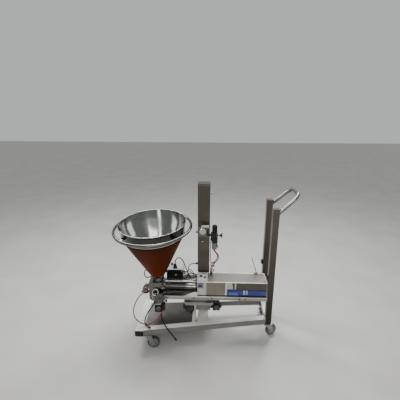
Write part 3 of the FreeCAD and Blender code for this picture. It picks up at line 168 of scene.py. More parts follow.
def steel(
    name, colour, rough, grain, smudge=0.10, depth=0.00004, painted_grade=None, side=None, under_shade=0.6, metal=1.0,
):
    """Brushed or polished steel: fine grain along one axis, with wiped smudges; optionally painted shade and
    painted highlight along an axis, and painted shade on the sides and below.
    """
    material, tree, shader = start_finish(name, metal)
    lines = noise(tree, object_place(tree, grain), 1.0, 2.0)
    cloud = noise(tree, object_place(tree), 9.0, 4.0)
    fine = shades(tree, lines, (0.3, scaled(colour, 0.9)), (0.7, scaled(colour, 1.08)))
    wiped = shades(tree, cloud, (0.35, (0.82, 0.82, 0.81)), (0.6, (1, 1, 1)))
    tone = tinted(tree, fine, wiped, 0.8)
    # Painted shade and painted highlight: colour scaled along one axis.
    if painted_grade:
        tone = painted_light_along(tree, tone, *painted_grade)
    # Painted shade: faces that look sideways or down are darkened.
    if side:
        tone = painted_facing_shade(tree, tone, side, under_shade)
    tree.links.new(tone, shader.inputs["Base Color"])
    tree.links.new(remap(tree, cloud, rough + smudge, rough), shader.inputs["Roughness"])
    relief(tree, shader, lines, 0.25, depth)
    return material


def moulded(name, colour, rough, grain=900.0, **sockets):
    """Moulded plastic or rubber with a fine grain and dusty patches."""
    material, tree, shader = start_finish(name, 0.0, **sockets)
    place = object_place(tree)
    cloud = noise(tree, place, 28.0, 4.0)
    fine = noise(tree, place, grain, 2.0)
    tone = shades(tree, cloud, (0.3, scaled(colour, 0.75)), (0.75, scaled(colour, 1.35)))
    tree.links.new(tone, shader.inputs["Base Color"])
    tree.links.new(remap(tree, cloud, rough - 0.08, rough + 0.1), shader.inputs["Roughness"])
    relief(tree, shader, fine, 0.2, 0.0002)
    return material


def painted(name, colour, rough):
    """Sprayed paint with orange peel and grime in patches."""
    material, tree, shader = start_finish(name, 0.0)
    place = object_place(tree)
    cloud = noise(tree, place, 14.0, 5.0)
    peel = noise(tree, place, 420.0, 1.0)
    tone = shades(tree, cloud, (0.3, scaled(colour, 0.7)), (0.6, colour), (0.8, scaled(colour, 1.12)))
    tree.links.new(tone, shader.inputs["Base Color"])
    tree.links.new(remap(tree, cloud, rough + 0.12, rough), shader.inputs["Roughness"])
    relief(tree, shader, peel, 0.15, 0.0002)
    return material


def jacket_finish(name, top, middle, low):
    """Silicone heater sheet: rust brown above, orange towards the tip, with faint folds."""
    material, tree, shader = start_finish(name, 0.0, Specular_IOR_Level=0.08)
    place = object_place(tree)
    split = tree.nodes.new("ShaderNodeSeparateXYZ")
    tree.links.new(place, split.inputs["Vector"])
    cloud = noise(tree, place, 7.0, 4.0)
    height = tree.nodes.new("ShaderNodeMath")
    height.operation = "MULTIPLY_ADD"
    height.inputs[1].default_value = 0.18
    tree.links.new(cloud, height.inputs[0])
    tree.links.new(split.outputs["Z"], height.inputs[2])
    level = remap(tree, height.outputs[0], 0.0, 1.0, 0.56, 0.83)
    tree.links.new(shades(tree, level, (0.0, low), (0.45, middle), (1.0, top)), shader.inputs["Base Color"])
    tree.links.new(remap(tree, cloud, 0.5, 0.68), shader.inputs["Roughness"])
    relief(tree, shader, noise(tree, place, 60.0, 5.0), 0.35, 0.002)
    return material


FINISH = {}


def make_finishes():
    look = bpy.context.scene.depositor_looks
    bright, dark = tuple(look.steel_bright), tuple(look.steel_dark)
    FINISH.update({
        # Rail tops kept pale and sides painted darker: painted shade.
        "rail": steel("Rail Steel", scaled(bright, 1.95), 0.34, (14, 700, 700), side=0.2, metal=0.2),
        # Brighter copy of the sheet steel for the folded edges, tray lip, joint strip and tray patch: painted
        # highlight.
        "fold_highlight": steel("Folded Edge Highlight Steel", scaled(bright, 1.7), 0.3, (14, 700, 700), metal=0.7),
        # Posts painted darker towards the floor: painted shade and dark reflection.
        "post": steel("Post Steel", scaled(dark, 0.8), 0.3, (700, 700, 10), painted_grade=("Z", 0.2, 0.85, 0.3, 1.0)),
        # Column painted darker below the housing top and lighter above: painted shade and highlight.
        "column": steel(
            "Column Steel", scaled(dark, 0.55), 0.34, (700, 700, 10), painted_grade=("Z", 0.25, 0.5, 0.8, 1.1),
        ),
        "inner": steel("Inner Column Steel", scaled(bright, 0.62), 0.34, (700, 700, 10), metal=0.8),
        # Sheet sides painted slightly darker than its tops: painted shade.
        "sheet": steel("Sheet Steel", scaled(bright, 0.95), 0.3, (12, 700, 700), side=0.8),
        # Deck painted darker towards the right, under the head: painted shadow.
        "deck": steel(
            "Deck Steel", scaled(bright, 0.62), 0.42, (12, 500, 500), 0.15,
            painted_grade=("X", -0.36, -0.26, 0.75, 0.42),
        ),
        "polished": steel("Polished Steel", (0.45, 0.46, 0.44), 0.09, (40, 40, 900), 0.06),
        "ring": steel("Ring Steel", scaled(bright, 0.36), 0.14, (300, 300, 300), 0.06),
        # Tube sides painted darker and its underside nearly black: painted shade.
        "tube": steel(
            "Polished Tube", scaled(bright, 0.75), 0.14, (900, 60, 60), 0.06, side=0.75, under_shade=0.04,
        ),
        # Barrel painted brighter towards its right end: painted highlight.
        "barrel": steel(
            "Barrel Steel", scaled(bright, 0.26), 0.08, (3, 60, 60), 0.03, painted_grade=("X", -0.14, -0.07, 0.5, 3.0),
        ),
        "band": steel("Hopper Band Steel", scaled(bright, 0.13), 0.16, (9, 9, 900), 0.12),
        "machined": steel("Machined Steel", scaled(bright, 0.34), 0.2, (60, 900, 900), 0.1),
        "bright": steel("Bright Plated Steel", scaled(bright, 1.5), 0.2, (200, 200, 200), 0.1),
        "bracket": steel("Bead Blasted Steel", scaled(bright, 0.75), 0.4, (300, 300, 300), 0.1),
        "dark_cast": steel("Dark Cast Steel", scaled(bright, 0.32), 0.36, (200, 200, 200), 0.14),
        # Lit and shaded copies of the sheet steel for the housing front: pale where lit, warm and brown as
        # painted shade.
        "cover_pale": steel("Pale Cover Sheet", scaled(bright, 1.2), 0.3, (500, 10, 10)),
        "cover_warm": steel("Warm Cover Sheet", (0.26, 0.24, 0.2), 0.34, (500, 10, 10)),
        "cover_shade": steel("Shaded Cover Sheet", (0.12, 0.11, 0.09), 0.34, (500, 10, 10)),
        "zinc": steel("Zinc Plate", (0.4, 0.4, 0.38), 0.28, (150, 150, 150), 0.2),
        "brass": steel("Dull Stay", (0.34, 0.3, 0.2), 0.38, (200, 200, 200), 0.2),
        "jacket": jacket_finish(
            "Heater Silicone", (0.055, 0.008, 0.001), (0.08, 0.012, 0.001), (0.11, 0.018, 0.0015),
        ),
        "black": moulded("Black Plastic", (0.01, 0.01, 0.01), 0.42, Specular_IOR_Level=0.3),
        "soft_black": moulded("Black Rubber", (0.014, 0.013, 0.013), 0.6, 600.0),
        "knob_face": moulded("Knob Face", (0.07, 0.07, 0.068), 0.45),
        "tyre": moulded("Grey Tyre", (0.05, 0.05, 0.047), 0.62, 500.0),
        "hub": moulded("Wheel Hub", (0.2, 0.2, 0.185), 0.45),
        "red": moulded("Red Tube", tuple(look.red_tube), 0.22, 700.0, Coat_Weight=0.3),
        "cable": moulded("Cable Sheath", (0.008, 0.007, 0.007), 0.5, 700.0, Specular_IOR_Level=0.25),
        "box": painted("Box Paint", (0.4, 0.41, 0.38), 0.4),
        "casting": painted("Casting Paint", (0.06, 0.072, 0.062), 0.5),
        "bowl": moulded("Smoked Bowl", (0.14, 0.14, 0.125), 0.12, 500.0, Coat_Weight=0.5),
        "plate": painted("Blue Plate", tuple(look.plate_blue), 0.3),
        "plate_dark": painted("Dark Blue Plate", scaled(tuple(look.plate_blue), 0.35), 0.3),
        "patch": painted("Pale Patch", (0.35, 0.42, 0.55), 0.35),
        "patch_blue": painted("Light Blue Patch", (0.11, 0.19, 0.5), 0.35),
        "tag": painted("Blue Grey Tag", (0.17, 0.18, 0.22), 0.35),
        "white": painted("White Plate", (0.5, 0.49, 0.48), 0.35),
    })


# Mesh helpers, in millimetres until a piece is finished


def turned(profile, steps=72, closed=True):
    """Closed outline of (radius, height) pairs, spun round Z."""
    bm = bmesh.new()
    verts = [bm.verts.new((radius, 0, height)) for radius, height in profile]
    pairs = list(zip(verts, verts[1:] + verts[:1])) if closed else list(zip(verts, verts[1:]))
    edges = [bm.edges.new(pair) for pair in pairs]
    bmesh.ops.spin(
        bm, geom=verts + edges, cent=(0, 0, 0), axis=UP, dvec=(0, 0, 0), angle=math.tau, steps=steps,
        use_merge=True,
    )
    bmesh.ops.remove_doubles(bm, verts=bm.verts, dist=0.0005)
    bmesh.ops.dissolve_degenerate(bm, edges=bm.edges, dist=0.0005)
    bmesh.ops.recalc_face_normals(bm, faces=bm.faces)
    return bm


def round_bar(radius, length, chamfer=0.6, steps=40):
    """Round bar from its first end along +Z, with chamfered rims."""
    return turned([
        (0, 0), (radius - chamfer, 0), (radius, chamfer),
        (radius, length - chamfer), (radius - chamfer, length), (0, length),
    ], steps, closed=False)


def ring(major, minor, steps=72, sides=14):
    """Round bar bent to a full ring round Z."""
    turn = math.tau / sides
    return turned(
        [(major + minor * math.cos(turn * i), minor * math.sin(turn * i)) for i in range(sides)], steps
    )


def slab(width, depth, height, radius=1.0, segments=2):
    """Block centred on the origin with softened edges."""
    bm = bmesh.new()
    bmesh.ops.create_cube(bm, size=1.0, matrix=Matrix.Diagonal((width, depth, height, 1)))
    if radius:
        bmesh.ops.bevel(
            bm, geom=bm.edges[:], offset=radius, offset_type="OFFSET", segments=segments,
            profile=0.5, affect="EDGES", material=-1,
        )
    return bm


def hexagon(across, height):
    """Nut or bolt head with its low face on the origin."""
    bm = bmesh.new()
    radius = across / math.sqrt(3)
    bmesh.ops.create_cone(
        bm, cap_ends=True, segments=6, radius1=radius, radius2=radius, depth=height,
        matrix=Matrix.Translation((0, 0, height / 2)),
    )
    bmesh.ops.bevel(
        bm, geom=bm.edges[:], offset=across * 0.05, offset_type="OFFSET", segments=1,
        profile=0.5, affect="EDGES", material=-1,
    )
    return bm


def along(axis):
    """Turn that lays +Z along an axis."""
    return Vector(axis).to_track_quat("Z", "Y").to_matrix().to_4x4()


def at(x, y, z, axis=None):
    """Place in millimetres from the column's axis, with +Z laid along an axis."""
    shift = Matrix.Translation((x, y, z))
    return shift if axis is None else shift @ along(axis)


def moved(bm, matrix):
    bmesh.ops.transform(bm, matrix=matrix, verts=bm.verts)
    if matrix.to_3x3().determinant() < 0:
        bmesh.ops.reverse_faces(bm, faces=bm.faces)
    return bm


def piece(name, body, finish, parts, replaces=(), sharp=32.0):
    """One finished object out of its parts, riding on a body."""
    whole = bmesh.new()
    for part in parts:
        mesh = bpy.data.meshes.new("part")
        part.to_mesh(mesh)
        part.free()
        whole.from_mesh(mesh)
        bpy.data.meshes.remove(mesh)
    metres = Matrix.Translation((AXIS.x, AXIS.y, 0)) @ Matrix.Scale(MM, 4)
    bmesh.ops.transform(whole, matrix=metres, verts=whole.verts)
    mesh = bpy.data.meshes.new(name)
    whole.to_mesh(mesh)
    whole.free()
    mesh.polygons.foreach_set("use_smooth", [True] * len(mesh.polygons))
    mesh.set_sharp_from_angle(angle=math.radians(sharp))
    obj = bpy.data.objects.new(name, mesh)
    bpy.context.scene.collection.objects.link(obj)
    mesh.materials.append(FINISH[finish])
    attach(obj, body)
    if replaces:
        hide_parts(*replaces)
    return obj


# Stage


class DEPOSITOR_OT_stage(bpy.types.Operator):
    """Lay the pale floor, hang the lights and set the camera"""

    bl_idname = "depositor.stage"
    bl_label = "Stage"

    def execute(self, context):
        scene = context.scene
        look = scene.depositor_looks
        self.floor(scene, look)
        self.sky(scene, look)
        self.lights(scene, look)
        self.camera(scene, look)
        return {"FINISHED"}

    def floor(self, scene, look):
        bm = bmesh.new()
        bmesh.ops.create_grid(bm, x_segments=2, y_segments=2, size=look.floor_half)
        mesh = bpy.data.meshes.new("floor")
        bm.to_mesh(mesh)
        bm.free()
        obj = bpy.data.objects.new("floor", mesh)
        scene.collection.objects.link(obj)
        material, tree, shader = start_finish("Pale Floor", 0.0, Roughness=0.55)
        cloud = noise(tree, object_place(tree), 3.0, 6.0)
        tone = shades(tree, cloud, (0.3, (0.46, 0.45, 0.43)), (0.7, (0.53, 0.52, 0.5)))
        tree.links.new(tone, shader.inputs["Base Color"])
        mesh.materials.append(material)

    def sky(self, scene, look):
        world = bpy.data.worlds.new("studio")
        world.use_nodes = True
        backdrop = world.node_tree.nodes["Background"]
        backdrop.inputs["Color"].default_value = (0.86, 0.88, 0.88, 1)
        backdrop.inputs["Strength"].default_value = look.sky_strength
        scene.world = world

    def lights(self, scene, look):
        aim = Vector((0, 0, 0.5))
        for name, where, size, watts in (
            ("tube_left", (-0.9, 0.7, 2.7), (0.5, 2.6), look.lamp_watts),
            ("tube_right", (0.7, 0.9, 2.7), (0.5, 2.6), look.lamp_watts * 0.8),
            ("front_fill", (0.3, -3.2, 2.4), (2.4, 1.2), look.lamp_watts * 0.55),
        ):
            lamp = bpy.data.lights.new(name, "AREA")
            lamp.shape = "RECTANGLE"
            lamp.size, lamp.size_y = size
            lamp.energy = watts
            obj = bpy.data.objects.new(name, lamp)
            obj.location = where
            obj.rotation_mode = "QUATERNION"
            obj.rotation_quaternion = (aim - Vector(where)).to_track_quat("-Z", "Y")
            scene.collection.objects.link(obj)

    def camera(self, scene, look):
        data = bpy.data.cameras.new("camera")
        data.sensor_width = 36.0
        data.lens = look.lens
        obj = bpy.data.objects.new("camera", data)
        forward = Vector((-0.0335, 0.9592, -0.2807)).normalized()
        right = forward.cross(UP).normalized()
        above = right.cross(forward)
        lean, rise = math.sin(math.radians(look.roll)), math.cos(math.radians(look.roll))
        right, above = right * rise + above * lean, above * rise - right * lean
        turn = Matrix((right, above, -forward)).transposed()
        obj.rotation_mode = "QUATERNION"
        obj.rotation_quaternion = turn.to_quaternion()
        obj.location = spot(38.7, -1882, 1500)
        scene.collection.objects.link(obj)
        scene.camera = obj


# Carried-over solids

NODE_FINISH = {
    "rail": ("front_rail", "side_rails", "cross_rails"),
    "post": ("handle_posts", "tube_caps"),
    "column": ("column_sleeve",),
    "inner": ("inner_column",),
    "sheet": ("body_housing", "housing_end_cover", "support_tray"),
    "deck": ("deck_panel",),
    "bracket": ("support_bracket", "clamp_collar", "air_cylinder"),
    "barrel": ("product_cylinder", "tie_rods"),
    "tube": ("push_handle", "gas_strut_rod"),
    "polished": ("hopper_shell", "ring_handle"),
    "machined": (
        "cylinder_end_plates", "valve_body", "outlet_elbow", "pipe_clamps", "valve_spool", "piston_rod",
        "product_piston", "air_service_block", "shutoff_handle", "valve_actuator", "gas_strut_tube",
    ),
    "jacket": ("heater_jacket",),
    "zinc": ("caster_plates",) + tuple("caster_fork_" + where for where in CASTERS),
    "tyre": tuple("caster_wheel_" + where for where in CASTERS),
    "black": (
        "lock_knob", "pilot_block", "control_box_lid", "air_regulator", "regulator_knob", "push_in_fittings",
        "air_valve",
    ),
    "soft_black": ("cable_glands", "hose_fittings"),
    "box": ("control_box",),
    "casting": ("valve_foot",),
    "bowl": ("filter_bowl",),
    "brass": ("sensor_rod",),
    "red": ("red_air_loop", "regulator_hose"),
    "cable": ("drain_hose", "air_hose", "control_cable", "heater_cable"),
}


class DEPOSITOR_OT_solids(bpy.types.Operator):
    """Give every carried-over solid its finish"""

    bl_idname = "depositor.solids"
    bl_label = "Solids"

    def execute(self, context):
        for finish, nodes in NODE_FINISH.items():
            for name in nodes:
                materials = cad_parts[name].data.materials
                materials.clear()
                materials.append(FINISH[finish])
        return {"FINISHED"}


# Cords: routes in millimetres from the column's axis

RED_LOOP = (
    (-370, -139, 350), (-384, -142, 349), (-406, -154, 340), (-428, -172, 320),
    (-444, -188, 294), (-454, -200, 264), (-457, -209, 233), (-449, -217, 203),
    (-429, -224, 179), (-400, -228, 164), (-368, -229, 157), (-336, -226, 163),
    (-310, -223, 180), (-291, -221, 201), (-277, -216, 222), (-267, -205, 239),
    (-262, -190, 248), (-262, -173, 251), (-262, -156, 250),
)
DRAIN = (
    (-325, -156, 283), (-328, -159, 271), (-337, -164, 254), (-351, -173, 237),
    (-365, -187, 219), (-376, -203, 199), (-381, -218, 180), (-378, -232, 167),
    (-367, -243, 159), (-352, -250, 156),
)
AIR = (
    (-274, -156, 223), (-275, -172, 220), (-275, -190, 212), (-270, -208, 200), (-261, -226, 185),
    (-246, -241, 168), (-228, -255, 148), (-208, -263, 127), (-190, -266, 105), (-176, -266, 83),
)
REGULATOR = (
    (72, -60, 623), (77, -60, 611), (90, -60, 600), (100, -60, 583), (101, -59, 562),
    (92, -58, 543), (78, -58, 527), (66, -59, 509), (58, -61, 489), (54, -62, 472), (53, -62, 456),
)
CONTROL = (
    (-205, 40, 444), (-205, 40, 462), (-203, 38, 482), (-195, 33, 503), (-178, 26, 517), (-157, 18, 514),
    (-143, 10, 498), (-133, 2, 477), (-122, -6, 453), (-112, -11, 429), (-103, -12, 405), (-93, -12, 383),
    (-80, -12, 367), (-67, -12, 359), (-54, -12, 357),
)
HEATER = (
    (-371, -107, 495), (-378, -106, 492), (-388, -104, 483), (-396, -101, 467), (-397, -95, 446),
    (-390, -86, 424), (-379, -72, 412), (-364, -55, 410), (-346, -36, 416), (-326, -18, 419),
    (-304, 2, 414), (-289, 22, 406), (-276, 40, 400),
)


STRAND = (
    (65, -52, 624), (69, -51, 612), (81, -51, 600), (92, -51, 583), (93, -51, 562), (85, -50, 543),
    (71, -50, 527), (59, -51, 509), (51, -52, 489), (48, -53, 472), (48, -53, 456),
)
COIL_X, COIL_Y, COIL_TOP = 62, -78, 549
COIL_RADIUS = 15
COIL_STEP = math.tau / 8
COIL_FALL = 3
COIL = (
    (47, -60, 708), (47, -60, 660), (47, -60, 620), (47, -61, 594), (47, -65, 573), (47, -71, 558),
    *(
        (
            COIL_X - COIL_RADIUS * math.cos(step * COIL_STEP),
            COIL_Y - COIL_RADIUS * math.sin(step * COIL_STEP),
            COIL_TOP - COIL_FALL * step,
        )
        for step in range(21)
    ),
    (76, -66, 483), (71, -59, 473), (64, -58, 464), (58, -60, 456),
)
SLEEVE_LEAD = (
    (-54, -12, 495), (-62, -12, 495), (-74, -12, 494), (-87, -10, 489), (-97, -6, 480), (-103, 0, 466),
    (-106, 8, 450), (-107, 17, 433), (-109, 26, 417), (-114, 34, 405), (-122, 39, 400), (-133, 40, 400),
)
LOW_LEAD = (
    (-150, 16, 372), (-142, 16, 372), (-131, 16, 376), (-122, 16, 386), (-115, 15, 400), (-107, 13, 412),
    (-97, 10, 418), (-86, 7, 415), (-77, 4, 406), (-69, 1, 396), (-60, -2, 389), (-50, -4, 387), (-43, -4, 387),
)

CROSS_LEAD = (
    (-43, -14, 412), (-52, -14, 412), (-64, -14, 414), (-78, -15, 420), (-91, -17, 421), (-103, -19, 414),
    (-111, -21, 403), (-117, -20, 391), (-124, -15, 380), (-132, -6, 373), (-141, 4, 370), (-150, 12, 370),
)
UPPER_LEAD = (
    (-150, 28, 392), (-140, 28, 392), (-127, 26, 398), (-116, 24, 410), (-106, 22, 423), (-96, 19, 430),
    (-86, 15, 428), (-78, 11, 419), (-71, 7, 408), (-63, 4, 401), (-53, 3, 400), (-43, 3, 400),
)


def hose(name, node, route, diameter, finish):
    """Free cord on a smooth line through its route, in place of its CAD solid."""
    curve = bpy.data.curves.new(name, "CURVE")
    curve.dimensions = "3D"
    spline = curve.splines.new("NURBS")
    spline.points.add(len(route) - 1)
    for point, place in zip(spline.points, route):
        point.co = (*spot(*place), 1)
    spline.order_u = 3
    spline.use_endpoint_u = True
    curve.resolution_u = 10
    curve.bevel_depth = diameter * MM / 2
    curve.bevel_resolution = 5
    curve.use_fill_caps = True
    curve.materials.append(FINISH[finish])
    obj = bpy.data.objects.new(name, curve)
    bpy.context.scene.collection.objects.link(obj)
    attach(obj, "head")
    if node:
        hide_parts(node)
    return obj


class DEPOSITOR_OT_cords(bpy.types.Operator):
    """Hang the air hoses and cables"""

    bl_idname = "depositor.cords"
    bl_label = "Cords"

    def execute(self, context):
        drain_end = self.fitting("drain_end", DRAIN)
        air_end = self.fitting("air_end", AIR)
        hose("red_loop", "red_air_loop", RED_LOOP, 7, "red")
        hose("drain_line", "drain_hose", DRAIN, 8, "cable")
        hose("air_line", "air_hose", AIR, 8, "cable")
        hose("regulator_line", "regulator_hose", REGULATOR, 6, "red")
        hose("control_line", "control_cable", CONTROL, 7, "cable")
        hose("second_strand", None, STRAND, 6, "red")
        hose("coiled_strand", None, COIL, 5, "red")
        hose("sleeve_line", None, SLEEVE_LEAD, 6, "cable")
        hose("low_line", None, LOW_LEAD, 5, "cable")
        hose("cross_line", None, CROSS_LEAD, 6, "cable")
        hose("upper_line", None, UPPER_LEAD, 5, "cable")
        hose("heater_line", "heater_cable", HEATER, 7, "cable")
        return {"FINISHED"}

    def fitting(self, name, route):
        """Push-in coupling on a hose's free end: sleeve, hexagon and release ring."""
        last, end = (Vector(place) for place in route[-2:])
        axis = (end - last).normalized()
        sleeve = moved(round_bar(6.5, 11, 0.8), at(*end, axis))
        ring_part = moved(round_bar(5.2, 16, 0.8), at(*end, axis))
        middle = end + axis * 4
        collar = moved(hexagon(12.5, 4), at(*middle, axis))
        return piece(name, "head", "black", [sleeve, ring_part, collar], ["hose_fittings"])


# Hopper

HOPPER_BASE = Vector((-301, -105, 437.6))
HOPPER_AXIS = Vector((-math.tan(math.radians(2.7)), -math.tan(math.radians(4.7)), 1)).normalized()
NECK_RADIUS = 34
CONE_RADIUS = 196
CONE_LENGTH = 330
RIM_RADIUS = 210
HOPPER_LENGTH = 408
RING_DROP = 36
RING_RADIUS = 241
HOPPER_WALL = 2


def hopper_place(height=0.0):
    """Frame on the hopper's leaning axis, at a height along it."""
    turn = UP.rotation_difference(HOPPER_AXIS).to_matrix().to_4x4()
    return Matrix.Translation(HOPPER_BASE + HOPPER_AXIS * height) @ turn


def cone_radius(height):
    """Outer radius of the cone and its rim band at a height."""
    if height > CONE_LENGTH:
        rise = (height - CONE_LENGTH) / (HOPPER_LENGTH - CONE_LENGTH)
        return CONE_RADIUS + (RIM_RADIUS - CONE_RADIUS) * rise
    return NECK_RADIUS + (CONE_RADIUS - NECK_RADIUS) * max(height - 8, 0) / (CONE_LENGTH - 8)


class DEPOSITOR_OT_hopper(bpy.types.Operator):
    """Turn the hopper's bowl, its heater jacket and the ring handle"""

    bl_idname = "depositor.hopper"
    bl_label = "Hopper"

    def execute(self, context):
        self.bowl()
        self.jacket()
        self.handle()
        return {"FINISHED"}

    def bowl(self):
        wall = HOPPER_WALL
        bead = 2.8
        top = HOPPER_LENGTH - bead
        lip = [
            (RIM_RADIUS - 1 + bead * math.cos(a), top + bead * math.sin(a))
            for a in (math.radians(turn) for turn in range(-90, 200, 24))
        ]
        outer = [(NECK_RADIUS, 0), (NECK_RADIUS, 7), (NECK_RADIUS + 0.6, 8)]
        outer += [(cone_radius(h), h) for h in (60, 120, 180, 240, 300, CONE_LENGTH - 2)]
        outer += [
            (CONE_RADIUS + grown, CONE_LENGTH + height) for grown, height in ((2.5, -2), (3, 2), (1, 5))
        ]
        inner = [(RIM_RADIUS - wall - 2, top - 4), (CONE_RADIUS - wall, CONE_LENGTH)]
        inner += [(cone_radius(h) - wall, h) for h in (240, 180, 120, 60, 9)]
        inner += [(NECK_RADIUS - 4, 7), (NECK_RADIUS - 4, 0)]
        bowl = moved(turned(outer + lip + inner, 160), hopper_place())
        piece("hopper_bowl", "head", "polished", [bowl], ["hopper_shell"], sharp=30)
        low, high = CONE_LENGTH + 6, top - 7
        skin = [(cone_radius(h) - 0.5, h) for h in (low, high)]
        skin += [(cone_radius(h) + 0.4, h) for h in (high, low)]
        band = moved(turned(skin, 160), hopper_place())
        piece("hopper_band", "head", "band", [band], ["hopper_shell"], sharp=30)

    def jacket(self):
        start, end, thick = 26, 318, 4
        sheet = [(cone_radius(h) + 0.3, h) for h in (start, 110, 200, end)]
        sheet += [(cone_radius(h) + thick, h - 1) for h in (end, 300, 250, 200, 155, 110, 70, 40)]
        sheet += [(cone_radius(start) + thick, start + 1)]
        cover = moved(turned(sheet, 144), hopper_place())
        piece("jacket_cover", "head", "jacket", [cover], ["heater_jacket"], sharp=40)

    def handle(self):
        drop = HOPPER_LENGTH - RING_DROP
        parts = [moved(ring(RING_RADIUS, 9, 144, 18), hopper_place(drop))]
        for quarter in range(4):
            turn = Matrix.Rotation(math.radians(45 + 90 * quarter), 4, "Z")
            lug = slab(30, 30, 6, 1.2)
            start = cone_radius(drop)
            parts.append(moved(lug, hopper_place(drop) @ turn @ Matrix.Translation((start + 12, 0, 0))))
        piece("ring_bar", "head", "ring", parts, ["ring_handle"], sharp=40)


# Casters, knob and trim


def bolt(across, height, place, washer=0.0):
    """Hexagon head on a washer."""
    parts = [moved(hexagon(across, height), place)]
    if washer:
        parts.append(moved(round_bar(washer, 1.4, 0.3, 28), place))
    return parts


def tray_bolts(points, axis, across=9, height=5):
    return [part for point in points for part in bolt(across, height, at(*point, axis), across * 0.75)]


class DEPOSITOR_OT_casters(bpy.types.Operator):
    """Fit tyres, hubs and axle nuts to the four casters"""

    bl_idname = "depositor.casters"
    bl_label = "Casters"

    def execute(self, context):
        for where, heading in CASTERS.items():
            low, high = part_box("caster_wheel_" + where)
            centre = ((low + high) / 2 - Vector((AXIS.x, AXIS.y, 0))) / MM
            axle = Vector((-math.sin(math.radians(heading)), math.cos(math.radians(heading)), 0))
            self.wheel(where, centre, axle)
            self.fork(where, centre, axle)
        return {"FINISHED"}

    def wheel(self, where, centre, axle):
        tread = [
            (30, -9), (32, -11.4), (36, -11.8), (38.6, -10.4), (39.8, -7), (40, -3),
            (40, 3), (39.8, 7), (38.6, 10.4), (36, 11.8), (32, 11.4), (30, 9),
        ]
        half = [
            (4.2, 13.5), (10, 13.5), (11.4, 12.4), (12, 5.5), (15, 4.2), (23, 4.2), (25.5, 6), (27, 10.4),
            (31, 10.8),
        ]
        hub = [(radius, -height) for radius, height in half] + half[::-1]
        place = at(*centre, axle)
        body = "wheel_" + where
        node = "caster_wheel_" + where
        piece("tyre_" + where, body, "tyre", [moved(turned(tread, 96), place)], [node])
        ribs = []
        for number in range(8):
            turn = Matrix.Rotation(math.tau * number / 8, 4, "Z")
            ribs.append(moved(slab(13, 3, 18, 0.8), place @ turn @ Matrix.Translation((18.5, 0, 0))))
        ribs.append(moved(turned(hub, 72), place))
        piece("hub_" + where, body, "hub", ribs, [node], sharp=25)

    def fork(self, where, centre, axle):
        nuts = []
        for side in (1, -1):
            face = centre + axle * side * 17.4
            nuts += bolt(13, 6, at(*face, axle * side), 9)
            nuts.append(moved(round_bar(4, 9, 0.8, 24), at(*face, axle * side)))
        trail = Vector((axle.y, -axle.x, 0)) * 30
        pivot = centre - trail
        nuts.append(moved(ring(24, 2.2, 56, 10), at(pivot.x, pivot.y, 96)))
        piece("axle_nuts_" + where, "caster_" + where, "zinc", nuts)
        heads = []
        for x, y in ((21.5, 21.5), (-21.5, 21.5), (21.5, -21.5), (-21.5, -21.5)):
            heads += bolt(10, 4, at(pivot.x + x, pivot.y + y, 102, (0, 0, -1)))
        piece("plate_bolts_" + where, "cart", "zinc", heads)


POST_Y = 106


class DEPOSITOR_OT_column(bpy.types.Operator):
    """Dress the lift column, its collar knob and the posts"""

    bl_idname = "depositor.column"
    bl_label = "Column and posts"

    def execute(self, context):
        self.knob()
        self.trim()
        self.posts()
        return {"FINISHED"}

    def knob(self):
        face = at(92, -50, 208, (0, -1, 0))
        cup = [(0, 52), (10, 52), (11, 55), (16, 55), (17.5, 53), (17.5, 47), (0, 47)]
        cap = moved(turned(cup, 48, closed=False), face)
        piece("knob_cap", "lock_knob", "knob_face", [cap], sharp=25)

    def trim(self):
        # Black strip across the sleeve just above the housing top: painted shadow of the gap.
        band = moved(slab(80, 2.5, 9, 0.8), at(0, -41, 454))
        piece("sleeve_shadow_band", "head", "soft_black", [band])
        seams = [moved(slab(83, 83, 2.4, 0.8), at(0, 0, 1055))]
        seams.append(moved(round_bar(3.5, 14, 1, 32), at(38, -22, 1000, (1, 0, 0))))
        seams.append(moved(hexagon(11, 5), at(49, -22, 1000, (1, 0, 0))))
        piece("sleeve_trim", "head", "machined", seams)

    def posts(self):
        caps = []
        for y in (-POST_Y, POST_Y):
            caps.append(moved(slab(41.5, 41.5, 4, 1.2), at(448, y, 928.5)))
            caps.append(moved(ring(13.5, 2.2, 48, 10), at(466, y, 902, (1, 0, 0))))
        piece("post_caps", "cart", "machined", caps)
        heads = tray_bolts([(468, -POST_Y, z) for z in (288, 364, 416)], (1, 0, 0), 11, 6)
        piece("post_bolts", "cart", "zinc", heads)
        pads = [moved(slab(12, 34, 26, 2), at(422, POST_Y, 458))]
        pads.append(moved(slab(8, 30, 12, 1.5), at(424, -POST_Y, 452)))
        piece("post_pads", "cart", "soft_black", pads)


# Housing with its plates


